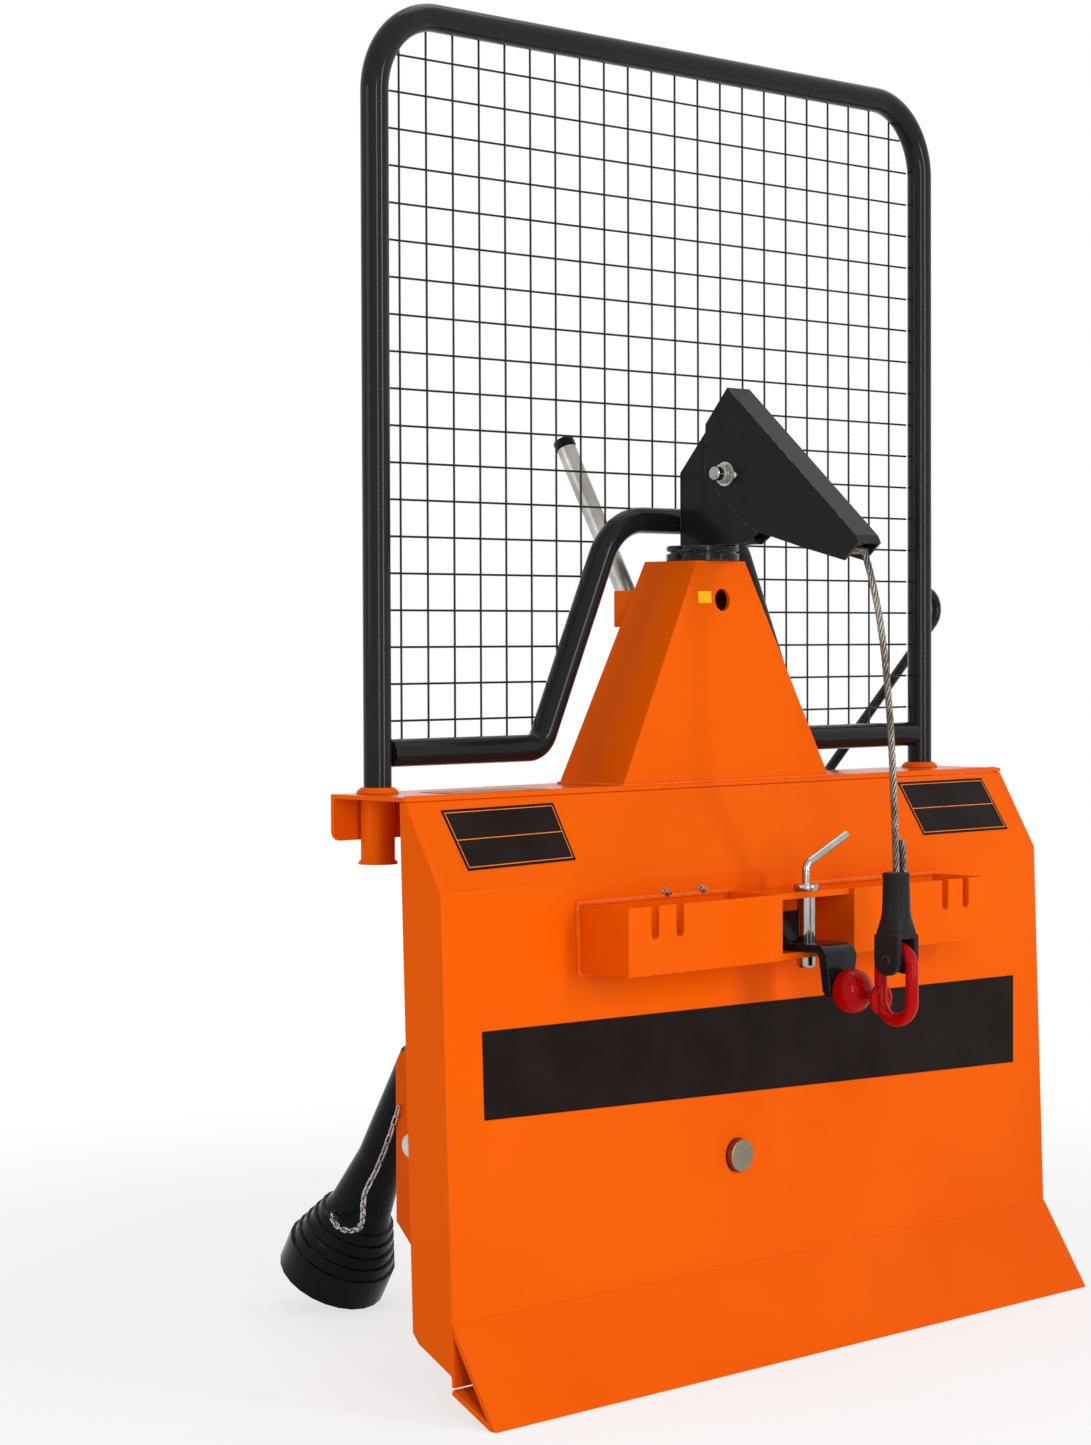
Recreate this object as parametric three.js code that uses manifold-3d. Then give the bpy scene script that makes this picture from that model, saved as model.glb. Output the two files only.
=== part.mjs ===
// Forestry skidding winch for a tractor's three-point linkage, in millimetres, +Z up.
// The logs come from -Y and the tractor stands at +Y. The origin is the middle of the
// digging edge, on the ground.
import * as THREE from 'three';
import { mergeVertices } from 'three/addons/utils/BufferGeometryUtils.js';
import Module from 'manifold-3d';

const wasm = await Module();
wasm.setup();

// Clearances
const seat = 0.3;
const running = 0.4;
const overrun = 20;

// Sheet and plate thicknesses
const sheet = { shield: 6, blade: 8, top: 6, tower: 6, rear: 10, cheek: 8, bar: 8, tab: 9 };

// Front shield: the outer face seen from the side, and the two side returns
const shield = {
  halfWidth: 640.7, bottomZ: 44, foldY: 74.3, foldZ: 127.1, creaseY: 92.7, creaseZ: 682.7, topY: 163.1,
  topZ: 804.7, returnDepth: 86, returnTopDepth: 13, footZ: 55.3, chamferRun: 68, chamferRise: 36,
  heelRise: 13.6,
};
const faceLean = (shield.creaseY - shield.foldY) / (shield.creaseZ - shield.foldZ);
const slopeLean = (shield.topY - shield.creaseY) / (shield.topZ - shield.creaseZ);
const faceY = (z) => shield.foldY + (z - shield.foldZ) * faceLean;
const slopeY = (z) => shield.creaseY + (z - shield.creaseZ) * slopeLean;
const faceBackY = (z) => faceY(z) + sheet.shield * Math.hypot(1, faceLean);

// Docking blade: a sheet folded back on itself at the digging edge
const blade = { edgeWidth: 12, backZ: 36 };

// Top plate with its rear flange, and the sockets of the guard's posts
const top = { backY: 307, flangeDepth: 62.7, flangeRound: 13, ropeHoleRadius: 22 };
const topUnderZ = shield.topZ - sheet.top;
const post = { radius: 19, inset: 57.4, y: 276.6, dropBelowTop: 88.7 };
const postX = shield.halfWidth - post.inset;
const socket = { wall: 3.7, crownRadius: 29, crownHeight: 7.9, flareHeight: 6, flareRadius: 27, drop: 94.7 };

// Guard of bent tube, with a notch that clears the tower, and its wire mesh
const guard = {
  riseAboveTop: 1049, cornerRadius: 112, lowerRise: 53.3, notchOverTower: 60, notchBottomHalf: 277,
  notchTopHalf: 124, notchBend: 95, tubeRadius: 19, arcSteps: 6,
};
const guardTopZ = shield.topZ + guard.riseAboveTop;
const guardLowerZ = shield.topZ + guard.lowerRise;
const wire = { thickness: 4, columnPitch: 61.8, rowPitch: 60, sideMargin: 36, topMargin: 53.1, setback: 17 };
const wireY = post.y + wire.setback;

// Tower: a tapered hollow column on the top plate, with the neck that the head turns on
const tower = {
  baseHalfWidth: 223, topHalfWidth: 52, frontBaseY: 165, frontTopY: 180, backBaseY: 290, backTopY: 282,
  height: 318.3, holeRadius: 16.3, holeDrop: 56.3,
};
const towerTopZ = shield.topZ + tower.height;
const guardNotchZ = towerTopZ + guard.notchOverTower;
const swivel = { y: 216, neckRadius: 30, neckBore: 19, neckDrop: 28, collarRadius: 53, collarHeight: 22 };
const collarTopZ = towerTopZ + seat + swivel.collarHeight;

// Wire rope, sheave and the fork that carries it
const rope = { radius: 5, sides: 8, cutGap: 1 };
const sheave = { pitchRadius: 67, flangeRise: 7, width: 24, rimWidth: 2 };
const sheaveRadius = sheave.pitchRadius + sheave.flangeRise;
const fork = { plate: 5, gap: 29, base: 8, back: 6, backReach: 26, underSheave: 27 };
const axle = { y: swivel.y - sheave.pitchRadius, z: collarTopZ + seat + sheaveRadius + fork.underSheave };
const forkBottomZ = collarTopZ + seat;
const forkHalf = fork.gap / 2 + fork.plate;
const pivot = { radius: 10, endLength: 26, headRadius: 16, headHeight: 10, nutRadius: 15, nutHeight: 13 };

// Nozzle arm: two side plates and a cover strip, tilting on the sheave's bolt
const nozzle = { plate: 4, reach: 246, strip: 4, rollerRadius: 6.5, nippleRadius: 4.5, nippleHeight: 9 };
const nozzleInner = forkHalf + seat + seat;
const nozzleOuter = nozzleInner + nozzle.plate;
// Outline near the sheave, in shares of the sheave's outer radius: Y then Z from the bolt
const nozzleHeelShares = [
  [-0.04, 1.67], [0.53, 0.99], [0.56, -0.02], [0.29, -0.29], [-0.52, -1.01], [-0.77, -1.13],
];
// Outline towards the mouth, in shares of the nozzle's reach: Y then Z from the bolt
const nozzleMouthShares = [[-0.589, -0.442], [-0.889, -0.52], [-1, -0.421], [-0.976, -0.378]];
const rollerShare = [-0.902, -0.459];
const mouthShare = [-0.956, -0.47];
const nippleShare = [-0.26, -0.03];
// Outline of the fork's side plates above its base, in shares of the sheave's outer radius
const forkTopShares = [[0.45, 1], [-0.41, 1.05], [-0.81, 0.74], [-0.82, -1.1]];
const forkToeShare = -0.42;

// Chain bar: two box arms with chain slots, either side of the hitch clevis
const bar = {
  bottomZ: 561, height: 93, reach: 92.7, outerX: 390, innerX: 78, slotWidth: 14.6, slotDepth: 44,
  slotX: 289, slotPitch: 49,
};
const barTopZ = bar.bottomZ + bar.height;
const barFrontY = faceY(bar.bottomZ) - bar.reach;
const clevis = { frontSetback: 9, pinSetback: 24, strapWidth: 6 };
const hitchPin = {
  radius: 13.5, collarRadius: 18, collarHeight: 9, belowTab: 16, chamfer: 3, handleRadius: 5.8,
  handleStem: 28, handleReach: 88, handleRise: 38,
};
const hitchPinY = barFrontY + clevis.pinSetback;
const hook = {
  halfWidth: 33, plate: 11.5, frontReach: 41, lipThickness: 14, lipDrop: 68, tailStart: 10, tailBack: 16,
  tailRise: 40, tailThickness: 13, bendRadius: 20,
};
const hookBaseZ = bar.bottomZ + sheet.tab + seat;
const hookTopZ = hookBaseZ + hook.plate;
const hookFrontY = barFrontY - hook.frontReach;

// Rope end: socket, link, and the swivel that meets the hitch hook
const ropeEnd = {
  hookGap: 3, bodyDrop: 64, bodyRadius: 31, bodyLength: 42, linkRadius: 9, linkHalfWidth: 27.5,
  linkStraight: 46,
  linkLift: 16, eyeRadius: 6, eyeLift: 7, eyePlay: 0.6, neckLength: 3, neckRadius: 5, legGap: 27,
  legThickness: 10, legWidth: 42, barrelRadius: 20, barrelLength: 54, shoulderLength: 32, pinRadius: 8,
};
const swivelZ = hookTopZ - ropeEnd.bodyDrop;
const swivelBackY = hookFrontY - ropeEnd.hookGap;
const eyeBore = ropeEnd.linkRadius + ropeEnd.eyePlay;
const linkLegY = swivelBackY - ropeEnd.bodyLength - seat - ropeEnd.neckLength - 2 * ropeEnd.eyeRadius - eyeBore;
const linkY = linkLegY - ropeEnd.linkHalfWidth;
const linkZ = swivelZ + ropeEnd.linkLift;
const linkTopZ = linkZ + ropeEnd.linkStraight / 2 + ropeEnd.linkHalfWidth;
const socketPinZ = linkTopZ - ropeEnd.linkRadius - seat - ropeEnd.pinRadius;
const shoulderZ = linkTopZ + ropeEnd.linkRadius + ropeEnd.linkRadius;
const socketTopZ = shoulderZ + ropeEnd.shoulderLength + ropeEnd.barrelLength;
const mouth = { y: axle.y + nozzle.reach * mouthShare[0], z: axle.z + nozzle.reach * mouthShare[1] };
// Hanging rope from the nozzle's mouth to the socket: shares of the reach and of the drop
const ropeLineShares = [
  [0, 0], [0.17, 0.06], [0.32, 0.125], [0.44, 0.185], [0.54, 0.25], [0.63, 0.32], [0.7, 0.39], [0.76, 0.46],
  [0.81, 0.53], [0.85, 0.6], [0.885, 0.67], [0.915, 0.74], [0.94, 0.8], [0.96, 0.86], [0.98, 0.92],
  [0.99, 0.96], [1, 1],
];

// Drum on its welded axle, the roller chain and the input shaft above it
const drum = {
  x: -80, z: 281, axleRadius: 23, axleProud: 10, frontY: 112, width: 140, coreRadius: 60, coreWall: 8,
  flangeRadius: 150, flange: 8, riserGap: 0.3,
};
const drumBackY = drum.frontY + drum.width;
const windingRadius = -drum.x - rope.radius - drum.riserGap;
const chain = {
  pitch: 19.05, drumTeeth: 38, inputTeeth: 11, width: 11, toothRise: 4.2, toothDip: 6, band: 7,
  centres: 179, setback: 14,
};
const pitchRadiusOf = (teeth) => chain.pitch / (2 * Math.sin(Math.PI / teeth));
const sprocketY = drumBackY + seat + chain.setback;
const input = { radius: 15, stubRadius: 17.5, stubLength: 90, bearingRadius: 42,
  bearingLength: 26 };
const inputZ = drum.z + chain.centres;

// Rear frame: bearing plate, cross beam, hitch cheeks and the standing legs
const rear = { halfWidth: 345, bottomZ: 110, gapToFlange: seat };
const rearFrontY = top.backY + rear.gapToFlange;
const rearBackY = rearFrontY + sheet.rear;
const beam = { bottomZ: 150, height: 56, depth: 50 };
const cheek = { outerX: 420, backY: 423, bottomZ: 158, height: 276, topRound: 26, chamfer: 30 };
const linkPin = { radius: 11, length: 62, z: 300, setback: 38, collarRadius: 17, collarLength: 8 };
const topLink = { gap: 50, plate: 10, z: 762, reach: 78, height: 80, pinRadius: 9.5, pinSetback: 26,
  pinOverhang: 14 };
const leg = { x: 250, width: 40, footWidth: 84, footHeight: 8 };

// Clutch lever on its bracket behind the tower
const lever = {
  x: -50, pivotY: 305.3, pivotDrop: 73, lean: 29.5, tubeRadius: 14.5, bossRadius: 17, bossHalf: 17,
  tubeLength: 281,
  plugLength: 14, plugWall: 1.5, pinRadius: 7, bracketPlate: 8, bracketDrop: 22, bracketRise: 31,
  bracketReach: 17.7,
};
// Brake lever: a bent bar with an eye for the pull cord
const brakeLever = {
  radius: 8, pivotOut: 51, pivotZ: 766, planeSetback: 22.7, footRun: 41, footRise: 40, reach: 261, rise: 229.3,
  eyeRadius: 29.6, eyeTurn: 300, eyeSteps: 14, bossRadius: 15,
};
const brakePivotX = rear.halfWidth + brakeLever.pivotOut;

// Drive shaft, parked on a peg behind the frame with its bell guard on the ground
const shaft = {
  x: -252, lean: 30.7, pegZ: 650, pegReach: 75, pegRadius: 8, bossRadius: 15, bossWidth: 26, groundGap: 0.6,
  yokeEar: 10, yokeWidth: 34, yokeNeck: 46, innerRadius: 15, sleeveRadius: 22, upperGuardStart: 62,
  upperConeRadius: 58, upperConeLength: 60, upperTubeRadius: 32.5, tubeWall: 3, bearingLength: 10,
  overlapEnd: 330, innerEnd: 420,
  sleeveOverlap: 90, travel: 100, lowerStart: 300, neckLength: 90, neckRadius: 47, coneLength: 84,
  bellRadius: 84,
  rimLength: 50, ribDepth: 4, ribs: 4, yokeRecess: 22,
};
const lowerTubeRadius = shaft.upperTubeRadius + running + shaft.tubeWall;
const shaftLean = THREE.MathUtils.degToRad(shaft.lean);
const pegY = rearBackY + shaft.pegReach;
const shaftLength = (shaft.pegZ - shaft.bellRadius * Math.sin(shaftLean) - shaft.groundGap) / Math.cos(
  shaftLean);
// Safety chain from the cheek to the bell guard, as points chosen along its hang
const guardChain = { radius: 4.5, sides: 8 };
const guardChainRoute = [
  [-424.8, 410, 354], [-424.8, 424, 322], [-424.8, 440, 290], [-424.8, 459, 257], [-424.8, 482, 224],
  [-411, 503, 199], [-393, 524, 177], [-377, 547, 160], [-363, 572, 149], [-350, 602, 142], [-339, 634, 140],
  [-327, 663, 145], [-316, 679, 150], [-304.6, 686, 152.5],
];

// Sides of the round pieces
const sides = { small: 10, medium: 16, large: 24, rim: 32 };

// Paints and metals
const paint = (color, roughness, metalness) => new THREE.MeshStandardMaterial(
  { color, roughness, metalness });
const finish = {
  orange: paint(0xf05a00, 0.38, 0.1), black: paint(0x242526, 0.42, 0.2), red: paint(0xc40808, 0.3, 0.1),
  chrome: paint(0xd8d8da, 0.18, 1), zinc: paint(0xa9a9a4, 0.4, 0.9), steel: paint(0x85878a, 0.45, 0.9),
  ropeSteel: paint(0x9b9890, 0.45, 0.9), plastic: paint(0x17181a, 0.35, 0), wire: paint(0x2b2c2e, 0.45, 0.4),
};

// Geometry helpers

// Shares one vertex per corner, drops empty triangles and turns the faces outward
function closed(geometry) {
  const bare = geometry.clone();
  for (const name of Object.keys(bare.attributes)) {
    if (name !== 'position') bare.deleteAttribute(name);
  }
  const merged = mergeVertices(bare);
  const kept = [];
  const corners = merged.index.array;
  for (let i = 0; i < corners.length; i += 3) {
    const [a, b, c] = [corners[i], corners[i + 1], corners[i + 2]];
    if (a !== b && b !== c && c !== a) kept.push(a, b, c);
  }
  if (signedVolume(merged, kept) < 0) {
    for (let i = 0; i < kept.length; i += 3) [kept[i], kept[i + 1]] = [kept[i + 1], kept[i]];
  }
  merged.setIndex(kept);
  return merged;
}

function signedVolume(geometry, corners) {
  const at = (i) => new THREE.Vector3().fromBufferAttribute(geometry.attributes.position, i);
  let six = 0;
  for (let i = 0; i < corners.length; i += 3) {
    six += at(corners[i]).dot(at(corners[i + 1]).cross(at(corners[i + 2])));
  }
  return six;
}

// A closed geometry as a solid that can be joined and cut
function solid(geometry) {
  const body = closed(geometry);
  return new wasm.Manifold(new wasm.Mesh({
    numProp: 3,
    vertProperties: new Float32Array(body.attributes.position.array),
    triVerts: new Uint32Array(body.index.array),
  }));
}

const join = (...geometries) => geometries.map(solid).reduce((whole, piece) => whole.add(piece));
const cut = (body, ...tools) => tools.map(solid).reduce((whole, tool) => whole.subtract(tool), body);

function asGeometry(body) {
  const result = body.getMesh();
  const geometry = new THREE.BufferGeometry();
  const places = new Float32Array(result.numVert * 3);
  for (let i = 0; i < result.numVert; i += 1) {
    for (let k = 0; k < 3; k += 1) places[i * 3 + k] = result.vertProperties[i * result.numProp + k];
  }
  geometry.setAttribute('position', new THREE.BufferAttribute(places, 3));
  geometry.setIndex(Array.from(result.triVerts));
  return geometry;
}

const outline = (points) => new THREE.Shape(points.map(([u, v]) => new THREE.Vector2(u, v)));
const extruded = (shape, depth) => new THREE.ExtrudeGeometry(shape, { depth, bevelEnabled: false });
const axesX = new THREE.Matrix4().makeBasis(
  new THREE.Vector3(0, 1, 0), new THREE.Vector3(0, 0, 1), new THREE.Vector3(1, 0, 0));
const axesY = new THREE.Matrix4().makeBasis(
  new THREE.Vector3(1, 0, 0), new THREE.Vector3(0, 0, 1), new THREE.Vector3(0, -1, 0));

// A (Y, Z) outline between two X, an (X, Z) outline between two Y, an (X, Y) outline between two Z
const prismX = (points, x0, x1) => extruded(outline(points), x1 - x0).applyMatrix4(axesX).translate(x0, 0, 0);
const prismY = (points, y0, y1) => extruded(outline(points), y1 - y0).applyMatrix4(axesY).translate(0, y1, 0);
const prismZ = (points, z0, z1) => extruded(outline(points), z1 - z0).translate(0, 0, z0);

function block(x0, x1, y0, y1, z0, z1) {
  const box = new THREE.BoxGeometry(x1 - x0, y1 - y0, z1 - z0);
  return box.translate((x0 + x1) / 2, (y0 + y1) / 2, (z0 + z1) / 2);
}

const rod = (radius, length, count) => new THREE.CylinderGeometry(radius, radius, length, count);
const rodX = (radius, x0, x1, y, z, count = sides.medium) => rod(radius, x1 - x0, count)
  .rotateZ(-Math.PI / 2).translate((x0 + x1) / 2, y, z);
const rodY = (radius, y0, y1, x, z, count = sides.medium) => rod(radius, y1 - y0, count)
  .translate(x, (y0 + y1) / 2, z);
const rodZ = (radius, z0, z1, x, y, count = sides.medium) => rod(radius, z1 - z0, count)
  .rotateX(Math.PI / 2).translate(x, y, (z0 + z1) / 2);

// A profile of (radius, height) points turned about Z, or the same turned about X or Y
const latheZ = (profile, count) => new THREE.LatheGeometry(
  profile.map(([r, h]) => new THREE.Vector2(r, h)), count).rotateX(Math.PI / 2);
const latheX = (profile, count) => latheZ(profile, count).rotateY(Math.PI / 2);
const latheY = (profile, count) => new THREE.LatheGeometry(
  profile.map(([r, h]) => new THREE.Vector2(r, h)), count);
const ring = (inner, outer, low, high) => [[inner, low], [outer, low], [outer, high], [inner, high],
  [inner, low]];

// Eight corners of a block that tapers from a lower to an upper rectangle
function tapered(low, high, z0, z1) {
  const places = [];
  for (const [box, z] of [[low, z0], [high, z1]]) {
    places.push(box.x0, box.y0, z, box.x1, box.y0, z, box.x1, box.y1, z, box.x0, box.y1, z);
  }
  const geometry = new THREE.BufferGeometry();
  geometry.setAttribute('position', new THREE.BufferAttribute(new Float32Array(places), 3));
  const corners = [0, 2, 1, 0, 3, 2, 4, 5, 6, 4, 6, 7];
  for (let i = 0; i < 4; i += 1) {
    const next = (i + 1) % 4;
    corners.push(i, next, next + 4, i, next + 4, i + 4);
  }
  geometry.setIndex(corners);
  return geometry;
}

// A line through given stations, each its own ring of a swept tube
class Stations extends THREE.Curve {
  constructor(points) {
    super();
    this.points = points;
  }

  getPoint(share) {
    const place = share * (this.points.length - 1);
    const first = Math.min(Math.floor(place), this.points.length - 2);
    return this.points[first].clone().lerp(this.points[first + 1], place - first);
  }

  getPointAt(share) {
    return this.getPoint(share);
  }

  getTangentAt(share) {
    const last = this.points.length - 1;
    const i = Math.round(share * last);
    const after = this.points[Math.min(i + 1, last)].clone().sub(this.points[i]).normalize();
    const before = this.points[i].clone().sub(this.points[Math.max(i - 1, 0)]).normalize();
    return after.add(before).normalize();
  }

  getTangent(share) {
    return this.getTangentAt(share);
  }
}

function circle(radius, count) {
  const points = [];
  for (let i = 0; i < count; i += 1) {
    const turn = (i / count) * 2 * Math.PI;
    points.push([radius * Math.cos(turn), radius * Math.sin(turn)]);
  }
  return points;
}

const vector = ([x, y, z]) => new THREE.Vector3(x, y, z);
const swept = (points, radius, count) => new THREE.ExtrudeGeometry(outline(circle(radius, count)), {
  steps: points.length - 1, extrudePath: new Stations(points.map(vector)), bevelEnabled: false,
});

// Flat polyline in which each corner with a radius becomes an arc of the given steps
function rounded(corners, steps) {
  const points = [];
  corners.forEach(([u, v, radius], i) => {
    if (!radius) {
      points.push([u, v]);
      return;
    }
    const here = new THREE.Vector2(u, v);
    const back = new THREE.Vector2(...corners[i - 1].slice(0, 2)).sub(here).normalize();
    const ahead = new THREE.Vector2(...corners[i + 1].slice(0, 2)).sub(here).normalize();
    const half = Math.acos(THREE.MathUtils.clamp(back.dot(ahead), -1, 1)) / 2;
    const centre = back.clone().add(ahead).normalize().multiplyScalar(radius / Math.sin(half)).add(here);
    const from = back.multiplyScalar(radius / Math.tan(half)).add(here).sub(centre);
    const to = ahead.multiplyScalar(radius / Math.tan(half)).add(here).sub(centre);
    let turn = to.angle() - from.angle();
    if (turn > Math.PI) turn -= 2 * Math.PI;
    if (turn < -Math.PI) turn += 2 * Math.PI;
    for (let k = 0; k <= steps; k += 1) {
      const arm = from.clone().rotateAround(new THREE.Vector2(), (turn * k) / steps);
      points.push([centre.x + arm.x, centre.y + arm.y]);
    }
  });
  return points;
}

// Where the line through p and q meets the line through r and s
function crossing([px, py], [qx, qy], [rx, ry], [sx, sy]) {
  const [ax, ay, bx, by] = [qx - px, qy - py, sx - rx, sy - ry];
  const share = ((rx - px) * by - (ry - py) * bx) / (ax * by - ay * bx);
  return [px + ax * share, py + ay * share];
}

// The line through p and q, moved sideways to its left by a distance
function beside([px, py], [qx, qy], distance) {
  const length = Math.hypot(qx - px, qy - py);
  const [nx, ny] = [(-(qy - py) / length) * distance, ((qx - px) / length) * distance];
  return [[px + nx, py + ny], [qx + nx, qy + ny]];
}

const winch = new THREE.Group();
winch.name = 'forestry_winch';

function place(name, shape, material, parent = winch) {
  const geometry = shape instanceof THREE.BufferGeometry ? closed(shape) : closed(asGeometry(shape));
  geometry.computeVertexNormals();
  const mesh = new THREE.Mesh(geometry, material);
  mesh.name = name;
  parent.add(mesh);
  return mesh;
}

// Front shield
function frontShield() {
  const endZ = topUnderZ - seat;
  const backLow = [faceBackY(shield.bottomZ), shield.bottomZ];
  const backFold = [faceBackY(shield.creaseZ), shield.creaseZ];
  const slopeBack = sheet.shield * Math.hypot(1, slopeLean);
  const inner = crossing(
    backLow, backFold, [slopeY(shield.creaseZ) + slopeBack, shield.creaseZ],
      [slopeY(endZ) + slopeBack, endZ]);
  const bend = [
    [faceY(shield.bottomZ), shield.bottomZ], [shield.creaseY, shield.creaseZ], [slopeY(endZ), endZ],
    [slopeY(endZ) + slopeBack, endZ], inner, backLow,
  ];
  const heelY = faceY(shield.footZ) + shield.chamferRun;
  const heelZ = shield.footZ + shield.chamferRise;
  const side = [
    [faceY(shield.footZ), shield.footZ], [shield.creaseY, shield.creaseZ], [slopeY(endZ), endZ],
    [slopeY(endZ) + shield.returnTopDepth, endZ],
    [faceY(shield.footZ) + shield.returnDepth - shield.returnTopDepth / 2, heelZ + shield.heelRise],
    [heelY, heelZ],
  ];
  const body = join(
    prismX(bend, -shield.halfWidth, shield.halfWidth),
    prismX(side, -shield.halfWidth, sheet.shield - shield.halfWidth),
    prismX(side, shield.halfWidth - sheet.shield, shield.halfWidth),
  );
  const axleHole = rodY(
    drum.axleRadius + seat, faceY(drum.z) - overrun, faceBackY(drum.z) + overrun, drum.x, drum.z,
      sides.large);
  return cut(body, axleHole);
}

// Docking blade, folded at the digging edge
function dockingBlade() {
  const crest = [faceY(shield.foldZ) - seat, shield.foldZ];
  const toe = [-blade.edgeWidth / 2, 0];
  const heel = [blade.edgeWidth / 2, 0];
  const end = [faceY(blade.backZ) + sheet.shield, blade.backZ];
  const [upperA, upperB] = beside(crest, toe, sheet.blade);
  const [lowerA, lowerB] = beside(heel, end, sheet.blade);
  const wallLow = [faceY(shield.bottomZ) - seat, shield.bottomZ];
  return prismX([
    toe, heel, end, lowerB, crossing(upperA, upperB, lowerA, lowerB),
    crossing(upperA, upperB, crest, wallLow), crest,
  ], -shield.halfWidth, shield.halfWidth);
}

// Top plate with its rear flange
function topPlateBody() {
  const frontY = slopeY(topUnderZ - seat);
  const flangeZ = shield.topZ - top.flangeDepth;
  const half = shield.halfWidth;
  const flange = rounded([
    [-half, shield.topZ], [-half, flangeZ, top.flangeRound], [half, flangeZ, top.flangeRound],
    [half, shield.topZ],
  ], 4);
  const body = join(
    block(-half, half, frontY, top.backY, topUnderZ, shield.topZ),
    prismY(flange, top.backY - sheet.top, top.backY),
  );
  const holes = [-postX, postX].map((x) => rodZ(
    post.radius + seat + socket.wall + seat, topUnderZ - overrun, shield.topZ + overrun, x, post.y,
      sides.large));
  return cut(body, ...holes, rodZ(top.ropeHoleRadius, topUnderZ - overrun, shield.topZ + overrun, 0,
    swivel.y));
}

// Socket of one guard post, hanging from the top plate
function postSocket(x) {
  const bore = post.radius + seat;
  const outer = bore + socket.wall;
  const bottomZ = shield.topZ - socket.drop;
  const crownZ = shield.topZ + seat;
  return latheZ([
    [bore, bottomZ], [socket.flareRadius, bottomZ], [outer, bottomZ + socket.flareHeight], [outer, crownZ],
    [socket.crownRadius, crownZ], [outer, crownZ + socket.crownHeight],
    [bore, crownZ + socket.crownHeight], [bore, bottomZ],
  ], sides.medium).translate(x, post.y, 0);
}

// Guard arch: both posts, the rounded corners and the top rail in one tube
const archCorners = [
  [-postX, shield.topZ - post.dropBelowTop], [-postX, guardTopZ, guard.cornerRadius],
  [postX, guardTopZ, guard.cornerRadius], [postX, shield.topZ - post.dropBelowTop],
];
const archLine = rounded(archCorners, guard.arcSteps);
const lowerReach = postX - post.radius - seat;
const lowerLine = (reach) => rounded([
  [-reach, guardLowerZ], [-guard.notchBottomHalf, guardLowerZ],
  [-guard.notchTopHalf, guardNotchZ, guard.notchBend], [guard.notchTopHalf, guardNotchZ, guard.notchBend],
  [guard.notchBottomHalf, guardLowerZ], [reach, guardLowerZ],
], guard.arcSteps);
const inGuardPlane = (points) => points.map(([x, z]) => [x, post.y, z]);

// Welded mesh: square wires that end on the tubes' backs
function guardMesh() {
  const halfSpan = postX - post.radius - wire.sideMargin / 2;
  const columns = Math.floor((2 * halfSpan) / wire.columnPitch);
  const topWireZ = guardTopZ - wire.topMargin;
  const rows = Math.floor((topWireZ - guardLowerZ - guard.tubeRadius) / wire.rowPitch);
  const half = wire.thickness / 2;
  const wires = [];
  for (let i = 0; i <= columns; i += 1) {
    const x = (i - columns / 2) * wire.columnPitch;
    wires.push(block(x - half, x + half, wireY - half, wireY + half, guardLowerZ - guard.tubeRadius,
      guardTopZ));
  }
  for (let j = 0; j <= rows; j += 1) {
    const z = topWireZ - j * wire.rowPitch;
    wires.push(block(-postX, postX, wireY - half, wireY + half, z - half, z + half));
  }
  const upper = archLine.map(([x, z]) => [x, Math.max(z, guardLowerZ)]);
  const window = [...upper, ...lowerLine(postX).slice(1, -1).reverse()];
  const trimmed = join(...wires).intersect(solid(prismY(window, wireY - overrun, wireY + overrun)));
  return cut(
    trimmed,
    swept(inGuardPlane(archLine), post.radius + seat, sides.medium),
    swept(inGuardPlane(lowerLine(postX)), guard.tubeRadius + seat, sides.medium),
  );
}

// Tower, open below, with its inspection hole and the neck on top
function towerBody() {
  const baseZ = shield.topZ + seat;
  const footprint = (half, y0, y1) => ({ x0: -half, x1: half, y0, y1 });
  const shell = (inset) => [
    footprint(tower.baseHalfWidth - inset, tower.frontBaseY + inset, tower.backBaseY - inset),
    footprint(tower.topHalfWidth - inset, tower.frontTopY + inset, tower.backTopY - inset),
  ];
  const outer = tapered(...shell(0), baseZ, towerTopZ);
  const inner = tapered(...shell(sheet.tower), baseZ, towerTopZ);
  const roof = block(
    -tower.topHalfWidth, tower.topHalfWidth, 0, tower.backTopY, towerTopZ - sheet.tower, towerTopZ + overrun);
  const holeZ = towerTopZ - tower.holeDrop;
  const hollow = solid(inner).subtract(solid(roof)).add(solid(block(
    sheet.tower - tower.baseHalfWidth, tower.baseHalfWidth - sheet.tower, tower.frontBaseY + sheet.tower,
    tower.backBaseY - sheet.tower, baseZ - overrun, baseZ + seat)));
  const neckTopZ = collarTopZ - running;
  const neck = rodZ(swivel.neckRadius, towerTopZ - swivel.neckDrop, neckTopZ, 0, swivel.y, sides.large);
  const shellBody = cut(solid(outer).subtract(hollow),
    rodY(tower.holeRadius, tower.frontBaseY - overrun, swivel.y, 0, holeZ));
  const bore = rodZ(
    swivel.neckBore, towerTopZ - swivel.neckDrop - overrun, neckTopZ + overrun, 0, swivel.y, sides.large);
  return cut(shellBody.add(solid(neck)), bore);
}

// Swivel collar and the fork that stands on it
const collar = () => latheZ(ring(swivel.neckRadius + running, swivel.collarRadius, towerTopZ + seat,
  collarTopZ), sides.large)
  .translate(0, swivel.y, 0);

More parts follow.
